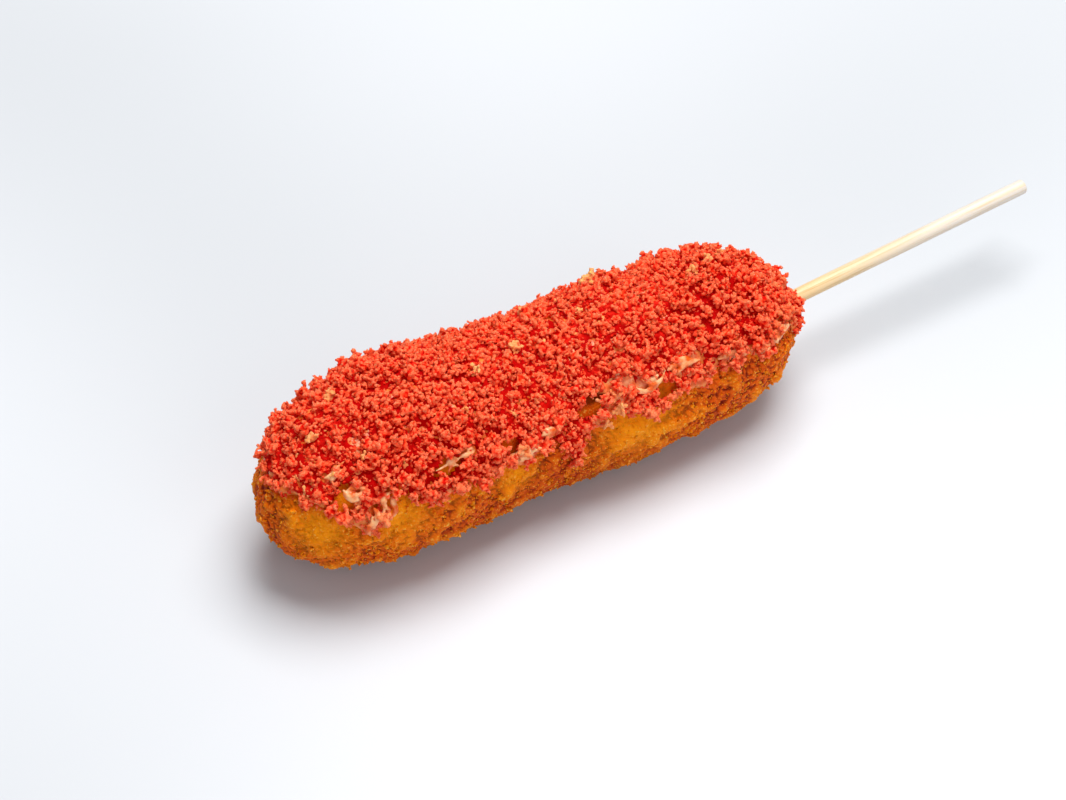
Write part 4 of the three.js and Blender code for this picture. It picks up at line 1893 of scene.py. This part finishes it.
@dataclass
class CrumbCoat:
    """The coat of red puffed crumbs: a granular base, clumps of three sizes and plain puffed bits."""

    form: FoodForm
    sauce: Sauce
    batter: FriedBatter
    cell: float = 0.66 * MM
    angle_step: float = 1.6
    underside: float = 1.2 * MM
    thinnest: float = 0.2 * MM
    lowest: float = 1.3 * MM
    base_depth: float = 2.6 * MM
    hollow_depth: float = 0.8 * MM
    base_end_share: float = 0.5
    coarse: Range = (0.9, 2.0)
    fine: Range = (0.45, 1.1)
    grit: Range = (0.25, 0.7)
    base_shade: float = 0.8
    window: float = 40.0
    rim_inset: float = 4.5
    cut_inset: float = 4.0
    hollow_size: float = 4.2 * MM
    small_hollow_size: float = 2.1 * MM
    small_hollow: float = 0.5
    hollow_range: Range = (0.1, 0.55)
    end_turn: Range = (0.35, 0.8)
    free_end_range: Range = (28 * MM, 37 * MM)
    stick_end_range: Range = (22 * MM, 28 * MM)
    end_thinning: float = 0.35
    end_sinking: float = 1.6 * MM
    pressed_in: float = 0.15
    support_dip: float = 0.9 * MM
    support_hollow: float = 1.0 * MM
    on_sauce: float = 0.5
    on_sauce_margin: Range = (-3.0, 1.0)
    smear_cover: float = 0.7
    sauced_share: float = 0.4
    sauced_margin: Range = (0.0, 12.0)
    plain_share: float = 0.6
    plain_from: float = 0.985
    variants: int = 14

    def hollows(self, point: Array) -> Array:
        """Where the coat has gaps between its clumps, from 0 to 1."""
        small = self.small_hollow * noise(point, self.small_hollow_size, Seed.SMALL_HOLLOW)
        return smoothstep(noise(point, self.hollow_size, Seed.HOLLOW) + small, *self.hollow_range)

    def end_face(self, u: Array, angle: Array) -> Array:
        """How much a place belongs to the lower part of an end, where the coat is thin.

        Args:
            u: Stations.
            angle: Angles round the food.

        Returns:
            A number for each place, from 0 to 1.
        """
        height, turned = self.form.point(u, angle)[..., 2], self.form.outward(u, angle)[..., 0]
        free, held = smoothstep(height, *self.free_end_range), smoothstep(height, *self.stick_end_range)
        low = 1.0 - np.where(turned < 0, free, held)
        return smoothstep(np.abs(turned), *self.end_turn) * low

    def base_top(self, u: Array, angle: Array) -> Array:
        """Height of the granular base.

        Args:
            u: Stations.
            angle: Angles round the food.

        Returns:
            The height at each place.
        """
        point = self.form.point(u, angle)
        end = self.base_end_share * self.end_face(u, angle)
        full = self.form.coat_top(u, angle) - self.base_depth - self.hollow_depth * self.hollows(point)
        full = np.maximum(full - self.end_sinking * end, self.lowest)
        coarse = self.coarse[0] * cell_domes(point, self.coarse[1] * MM, Seed.COARSE_GRAIN)
        fine = self.fine[0] * cell_domes(point, self.fine[1] * MM, Seed.FINE_GRAIN)
        grit = self.grit[0] * noise(point, self.grit[1] * MM, Seed.COAT_GRIT)
        full = full + MM * (coarse + fine + grit)
        open_share = np.maximum(self.sauce.smeared(point), self.sauce.spotted(point, WINDOWS))
        margin = self.form.coat_margin(u, angle) - self.rim_inset - self.window * open_share
        return self.sauce.layer_height(margin, full)

    def base(self) -> Shape:
        """The granular base.

        Returns:
            The base.
        """
        cut_margin = self.rim_inset - self.cut_inset
        shell = cut_shell(
            self.form,
            self.form.even_stations(self.cell)[1:-1],
            angle_bands((0, 360, self.angle_step)),
            inside=lambda u, angle: self.form.coat_margin(u, angle) > cut_margin,
            top=self.base_top,
            underside=lambda u, angle: np.minimum(self.underside, self.base_top(u, angle) - self.thinnest),
            level=self.form.coat_top,
        )
        still = np.zeros(len(shell.points))
        lift = shell.marks["rise"] - self.base_shade
        shell.marks = {"lift": lift, "sauced": still, "plain": still, "tone": still, "tip": shell.tips()}
        return shell

    def support(self, u: Array, angle: Array) -> Array:
        """Height that crumbs sit on: the coat's mean top inside its rim, and the crust outside it.

        Args:
            u: Stations.
            angle: Angles round the food.

        Returns:
            The height at each place.
        """
        dip = self.support_dip + self.support_hollow * self.hollows(self.form.point(u, angle))
        top = self.form.coat_top(u, angle) - dip
        coat = self.sauce.layer_height(self.form.coat_margin(u, angle), top)
        return np.maximum(np.maximum(coat, self.sauce.top(u, angle)), self.batter.relief(u, angle))

    def crumbs(self, size: CrumbSize) -> Shape:
        """One size of clump, spread over the coat.

        Args:
            size: The size.

        Returns:
            The clumps.
        """
        maker = ClumpMaker(size.seed)

        def chance(u: Array, angle: Array) -> Array:
            """Chance that a place takes a clump.

            Args:
                u: Stations.
                angle: Angles round the food.

            Returns:
                A chance for each place, from 0 to 1.
            """
            point = self.form.point(u, angle)
            in_coat = smoothstep(self.form.coat_margin(u, angle), *size.rim)
            in_sauce = smoothstep(self.sauce.margin(u, angle), *self.on_sauce_margin)
            rimmed = np.maximum(in_coat, self.on_sauce * in_sauce)
            closed = (1.0 - self.sauce.spotted(point, WINDOWS)) ** 2
            covered = (1.0 - self.smear_cover * self.sauce.smeared(point)) * closed
            return rimmed * (1.0 - size.hollow * self.hollows(point)) * covered

        u, angle = Scatter(self.form, size.seed + 1).spaced(size.draws, size.spacing, chance)
        end = self.end_face(u, angle)
        radius = maker.random.uniform(*size.radius, len(u)) * (1.0 - self.end_thinning * end)
        raised = maker.random.uniform(*size.lift, len(u)) - self.end_sinking * end
        least = self.base_top(u, angle) - self.pressed_in * radius
        places = self.form.point(u, angle, np.maximum(self.support(u, angle) + raised, least))
        near_rim = 1.0 - smoothstep(self.form.coat_margin(u, angle), *self.sauced_margin)
        sauced = self.sauced_share * near_rim * maker.random.uniform(0, 1, len(u)) ** 2
        plain = self.plain_share * (maker.random.uniform(0, 1, len(u)) > self.plain_from)
        tone = maker.random.uniform(0, 1, len(u))
        marks = {"sauced": sauced, "plain": plain, "lift": raised / MM, "tone": tone}
        kinds = maker.kinds(self.variants, size.kind)
        return maker.spread(kinds, places, radius, self.form.outward(u, angle), marks)

    def dress(self, finish: bpy.types.Material) -> None:
        """Puts the base and every size of clump in the scene.

        Args:
            finish: Their finish.
        """
        put(self.base(), "coat_base", finish, "puffed_crumb", "crumb_coat")
        for size in CRUMB_SIZES:
            put(self.crumbs(size), size.name, finish, "puffed_crumb")


class AccentForm(Enum):
    """What a single clump that stands out from the coat is like."""

    PUFF = ClumpKind(balls=18, ball=0.34, closeness=0.8, triangles=320, tries=3)
    SLIVER = ClumpKind(balls=8, ball=0.5, closeness=0.6, triangles=160, stretch=2.6, flatness=0.8)
    FLAKE = ClumpKind(16, 0.42, 0.75, 260, tries=3, stretch=1.5, flatness=0.2)


@dataclass(frozen=True)
class Accent:
    """A single clump that stands out from the coat.

    Attributes:
        form: What it is like.
        x: Place along the food, in millimetres.
        rise: Degrees round the food above its near middle line.
        size: Its radius, in millimetres.
        lift: Height over what it sits on, in millimetres.
        turn: Degrees it is turned from the food's length.
        sauced: How much sauce has soaked it.
        plain: How little red it has taken.
        standing: Whether it stands on its edge.
    """

    form: AccentForm
    x: float
    rise: float
    size: float
    lift: float = 0.4
    turn: float = 0.0
    sauced: float = 0.0
    plain: float = 0.0
    standing: bool = False


ACCENTS = (
    Accent(AccentForm.PUFF, 15.9, 98.8, 1.8, plain=0.75),
    Accent(AccentForm.PUFF, -15.3, 84.6, 1.9, plain=0.8),
    Accent(AccentForm.PUFF, -4.3, 55.4, 2.3, sauced=0.5),
    Accent(AccentForm.PUFF, -22.0, 64.0, 1.2, plain=0.6),
    Accent(AccentForm.PUFF, 54.9, 106.2, 2.2, sauced=0.5, plain=0.3),
    Accent(AccentForm.PUFF, -49.1, 23.0, 2.9, 0.6, sauced=0.6),
    Accent(AccentForm.PUFF, -54.3, 36.2, 2.4, 0.2, sauced=0.9),
    Accent(AccentForm.PUFF, -12.0, 28.0, 3.0, 0.4, sauced=0.8),
    Accent(AccentForm.PUFF, 14.0, 42.0, 2.8, 0.2, sauced=0.8),
    Accent(AccentForm.PUFF, 24.0, 40.0, 2.2, 0.2, sauced=0.7),
    Accent(AccentForm.PUFF, 67.0, 78.0, 3.2, 0.6, sauced=0.4),
    Accent(AccentForm.PUFF, 71.5, 66.0, 2.6, 0.3, sauced=0.3),
    Accent(AccentForm.SLIVER, 3.3, 83.8, 1.0, 1.0, 75, plain=0.85),
    Accent(AccentForm.SLIVER, -11.0, 52.8, 0.8, 0.8, 120, plain=0.7),
    Accent(AccentForm.SLIVER, -57.0, 59.0, 0.9, 0.8, 30, sauced=1.0, plain=0.5),
    Accent(AccentForm.FLAKE, 25.0, 128.0, 2.6, 2.2, 20, plain=0.8, standing=True),
)


@dataclass
class Accents:
    """The clumps that stand out from the coat, and one crumb stuck to the stick.

    Attributes:
        coat: The coat they sit on.
        seed: Seed of their random numbers.
        crumb_place: Middle of the crumb on the stick.
        crumb_size: Its radius.
        tone: How far they tend to orange.
    """

    coat: CrumbCoat
    seed: int = 91
    crumb_place: tuple[float, float, float] = (76.8 * MM, 0.0, 24.4 * MM)
    crumb_size: float = 1.2 * MM
    tone: float = 0.5

    def build(self) -> Shape:
        """All of them, as one shape.

        Returns:
            The shape.
        """
        maker = ClumpMaker(self.seed)
        shapes = [self.placed(maker.clump(accent.form.value), accent) for accent in ACCENTS]
        crumb = maker.clump(AccentForm.PUFF.value)
        still = np.zeros(len(crumb.points))
        crumb.points = crumb.points * self.crumb_size + np.array(self.crumb_place)
        crumb.marks.update({"lift": still, "sauced": still, "plain": still, "tone": still})
        return Shape.joined([*shapes, crumb])

    def placed(self, clump: Shape, accent: Accent) -> Shape:
        """One clump moved to its place.

        Args:
            clump: The clump.
            accent: Where it goes and what it is like.

        Returns:
            The clump in its place, with its marks.
        """
        form = self.coat.form
        u, angle = form.near_side(accent.x, accent.rise)
        middle = form.point(u, angle, self.coat.support(u, angle) + accent.lift * MM)[0]
        out = form.outward(u, angle)[0]
        along = np.array([1.0, 0.0, 0.0]) - out[0] * out
        along /= np.linalg.norm(along)
        across = np.cross(out, along)
        turn = math.radians(accent.turn)
        first = along * math.cos(turn) + across * math.sin(turn)
        second = np.cross(out, first)
        axes = np.array([first, out, -second]) if accent.standing else np.array([first, second, out])
        offset = clump.points @ axes * accent.size * MM
        clump.points = offset + middle
        clump.marks["lift"] = accent.lift + offset @ out / MM
        for mark, value in (("sauced", accent.sauced), ("plain", accent.plain), ("tone", self.tone)):
            clump.marks[mark] = np.full(len(offset), value)
        return clump

    def dress(self, finish: bpy.types.Material) -> None:
        """Puts them in the scene with their finish."""
        put(self.build(), "crumbs_accent", finish, "puffed_crumb")


@dataclass
class BambooStick:
    """The round bamboo stick, which runs deep into the batter and has a small bevel at its tip."""

    diameter: float = 4 * MM
    shown: float = 77 * MM
    buried: float = 92 * MM
    exit: tuple[float, float, float] = (73 * MM, 0.0, 22 * MM)
    turn: float = 3.0
    rise: float = 2.0
    bevel: float = 0.5 * MM
    bevel_start: float = 0.4
    bevel_rings: tuple[float, float, float] = (0.25, 1.0, 2.0)
    sides: int = 36
    ring_step: float = 1.0 * MM
    hidden_step: float = 9 * MM
    fibre_squeeze: float = 0.03
    ridged_from: Range = (-2 * MM, 1 * MM)
    ridge: float = 0.012
    ridge_size: float = 0.9 * MM

    def rings(self) -> tuple[Array, Array]:
        """Places along the stick and the stick's radius there.

        Returns:
            Distances from where it leaves the food, and radii.
        """
        hidden = np.arange(-self.buried, -self.hidden_step / 2, self.hidden_step)
        seen = np.linspace(0.0, self.shown - self.bevel, int(self.shown / self.ring_step))
        tip = [self.shown - self.bevel_start * self.bevel, self.shown, self.shown]
        distance = np.concatenate([hidden, seen, tip])
        radius = np.full(len(distance), self.diameter / 2)
        radius[-len(self.bevel_rings):] -= np.array(self.bevel_rings) * self.bevel
        return distance, radius

    def build(self) -> Shape:
        """The stick.

        Returns:
            The stick, with its grain and the distance along it marked.
        """
        turn, rise = math.radians(self.turn), math.radians(self.rise)
        along = np.array([math.cos(rise) * math.cos(turn), math.cos(rise) * math.sin(turn), math.sin(rise)])
        side = np.cross(along, [0.0, 0.0, 1.0])
        side /= np.linalg.norm(side)
        up = np.cross(side, along)
        distance, radius = self.rings()
        angle = np.linspace(0, 2 * np.pi, self.sides, endpoint=False)
        t, a = np.meshgrid(distance, angle, indexing="ij")
        r = np.repeat(radius[:, None], self.sides, axis=1)
        fibre = np.stack([r * np.cos(a), r * np.sin(a), self.fibre_squeeze * t], -1)
        ridges = self.ridge * noise(fibre, self.ridge_size, Seed.FIBRE) - 0.5 * self.ridge
        r = r * (1.0 + smoothstep(t, *self.ridged_from) * ridges)
        axis = np.array(self.exit) + t[..., None] * along
        points = axis + (r * np.cos(a))[..., None] * side + (r * np.sin(a))[..., None] * up
        caps = np.array([points[0].mean(axis=0), points[-1].mean(axis=0)])
        cap_grain = np.array([[0, 0, -self.buried], [0, 0, self.shown]]) * self.fibre_squeeze
        grain = np.concatenate([fibre.reshape(-1, 3), cap_grain])
        length = np.concatenate([t.ravel(), [-self.buried, self.shown]])
        marks = {"grain": grain, "along": length / MM}
        return Shape(np.concatenate([points.reshape(-1, 3), caps]), self.faces(t.shape), marks)

    def faces(self, shape: tuple[int, int]) -> Array:
        """The triangles of the stick's side and its two ends.

        Args:
            shape: How many rings there are, and how many sides each has.

        Returns:
            Point numbers of each triangle; the ends' middles come after all rings.
        """
        count = shape[0] * shape[1]
        number = np.arange(count).reshape(shape)
        turned = np.roll(number, -1, axis=1)
        here, beside, ahead, corner = number[:-1], turned[:-1], number[1:], turned[1:]
        turns = ((here, ahead, corner), (here, corner, beside))
        sides = [np.stack(turn, -1).reshape(-1, 3) for turn in turns]
        foot = np.stack([np.full(self.sides, count), number[0], turned[0]], -1)
        tip = np.stack([np.full(self.sides, count + 1), turned[-1], number[-1]], -1)
        return np.concatenate([*sides, foot, tip])

    def dress(self, finish: bpy.types.Material) -> None:
        """Puts the stick in the scene with its finish."""
        put(self.build(), "bamboo_stick", finish, "bamboo", "stick")


# ------------------------------------------------------------------------------------------ studio


@dataclass(frozen=True)
class SoftLight:
    """A square soft light that faces the food.

    Attributes:
        name: Its name.
        place: Where it stands, in metres.
        width: Its width.
        power: Its power in watts.
    """

    name: str
    place: tuple[float, float, float]
    width: float
    power: float


@dataclass
class Studio:
    """The pale floor, the soft light and the camera."""

    azimuth: float = -28.16
    elevation: float = 49.06
    distance: float = 0.7
    target: tuple[float, float, float] = (2.626 * MM, 2.740 * MM, 20 * MM)
    lens: float = 95.16
    sensor: float = 36.0
    floor_width: float = 6.0
    floor_colour: Colour = srgb(161, 165, 168)
    floor_patch: float = 0.35
    floor_roughness: float = 0.9
    sky_colour: Colour = srgb(246, 248, 252)
    sky_strength: float = 0.32
    lights: tuple[SoftLight, ...] = (
        SoftLight("overhead", (0.2, 0.1, 0.95), 0.6, 11.8),
        SoftLight("front", (0.1, -0.9, 0.55), 0.8, 3.0),
    )

    def build(self) -> None:
        """Sets up floor, lights, camera and how colours are shown."""
        self.add_floor()
        self.add_lights()
        self.add_camera()
        bpy.context.scene.view_settings.view_transform = "Standard"

    def add_floor(self) -> None:
        """A pale floor."""
        half = self.floor_width / 2
        square = np.array([[-half, -half, 0], [half, -half, 0], [half, half, 0], [-half, half, 0]])
        floor = Shape(square, np.array([[0, 1, 2], [0, 2, 3]]), {}).to_object("floor", smooth=False)
        web = ShaderWeb("floor")
        tone = web.noise(self.floor_patch, detail=1.0)
        tint = web.blend(tone, self.floor_colour, self.sky_colour)
        finish = web.surface({"Base Color": tint, "Roughness": self.floor_roughness})
        floor.data.materials.append(finish)

    def add_lights(self) -> None:
        """The soft lights and the even light from all round."""
        world = bpy.data.worlds.new("studio")
        world.use_nodes = True
        background = world.node_tree.nodes["Background"]
        background.inputs["Color"].default_value = (*self.sky_colour, 1.0)
        background.inputs["Strength"].default_value = self.sky_strength
        bpy.context.scene.world = world
        for soft in self.lights:
            light = bpy.data.lights.new(soft.name, "AREA")
            light.shape = "SQUARE"
            light.size = soft.width
            light.energy = soft.power
            holder = bpy.data.objects.new(soft.name, light)
            holder.location = soft.place
            holder.rotation_euler = (-Vector(soft.place)).to_track_quat("-Z", "Y").to_euler()
            bpy.context.scene.collection.objects.link(holder)

    def add_camera(self) -> None:
        """The camera."""
        camera = bpy.data.cameras.new("camera")
        camera.lens = self.lens
        camera.sensor_width = self.sensor
        camera.sensor_fit = "HORIZONTAL"
        holder = bpy.data.objects.new("camera", camera)
        turn, rise = math.radians(self.azimuth), math.radians(self.elevation)
        back = Vector((math.sin(turn) * math.cos(rise), -math.cos(turn) * math.cos(rise), math.sin(rise)))
        holder.location = Vector(self.target) + back * self.distance
        holder.rotation_euler = (-back).to_track_quat("-Z", "Y").to_euler()
        bpy.context.scene.collection.objects.link(holder)
        bpy.context.scene.camera = holder


def main() -> None:
    """Loads the frame, builds and dresses every piece, and sets the studio up."""
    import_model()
    Studio().build()
    form = FoodForm()
    crust, crumb = CrustFinish().material(), CrumbFinish().material()
    cream, bamboo = SauceFinish().material(), BambooFinish().material()
    batter = FriedBatter(form)
    sauce = Sauce(form)
    coat = CrumbCoat(form, sauce, batter)
    batter.dress(crust)
    Breadcrumbs(form, batter).dress(crust)
    sauce.dress(cream)
    coat.dress(crumb)
    Accents(coat).dress(crumb)
    BambooStick().dress(bamboo)


if __name__ == "__main__":
    main()
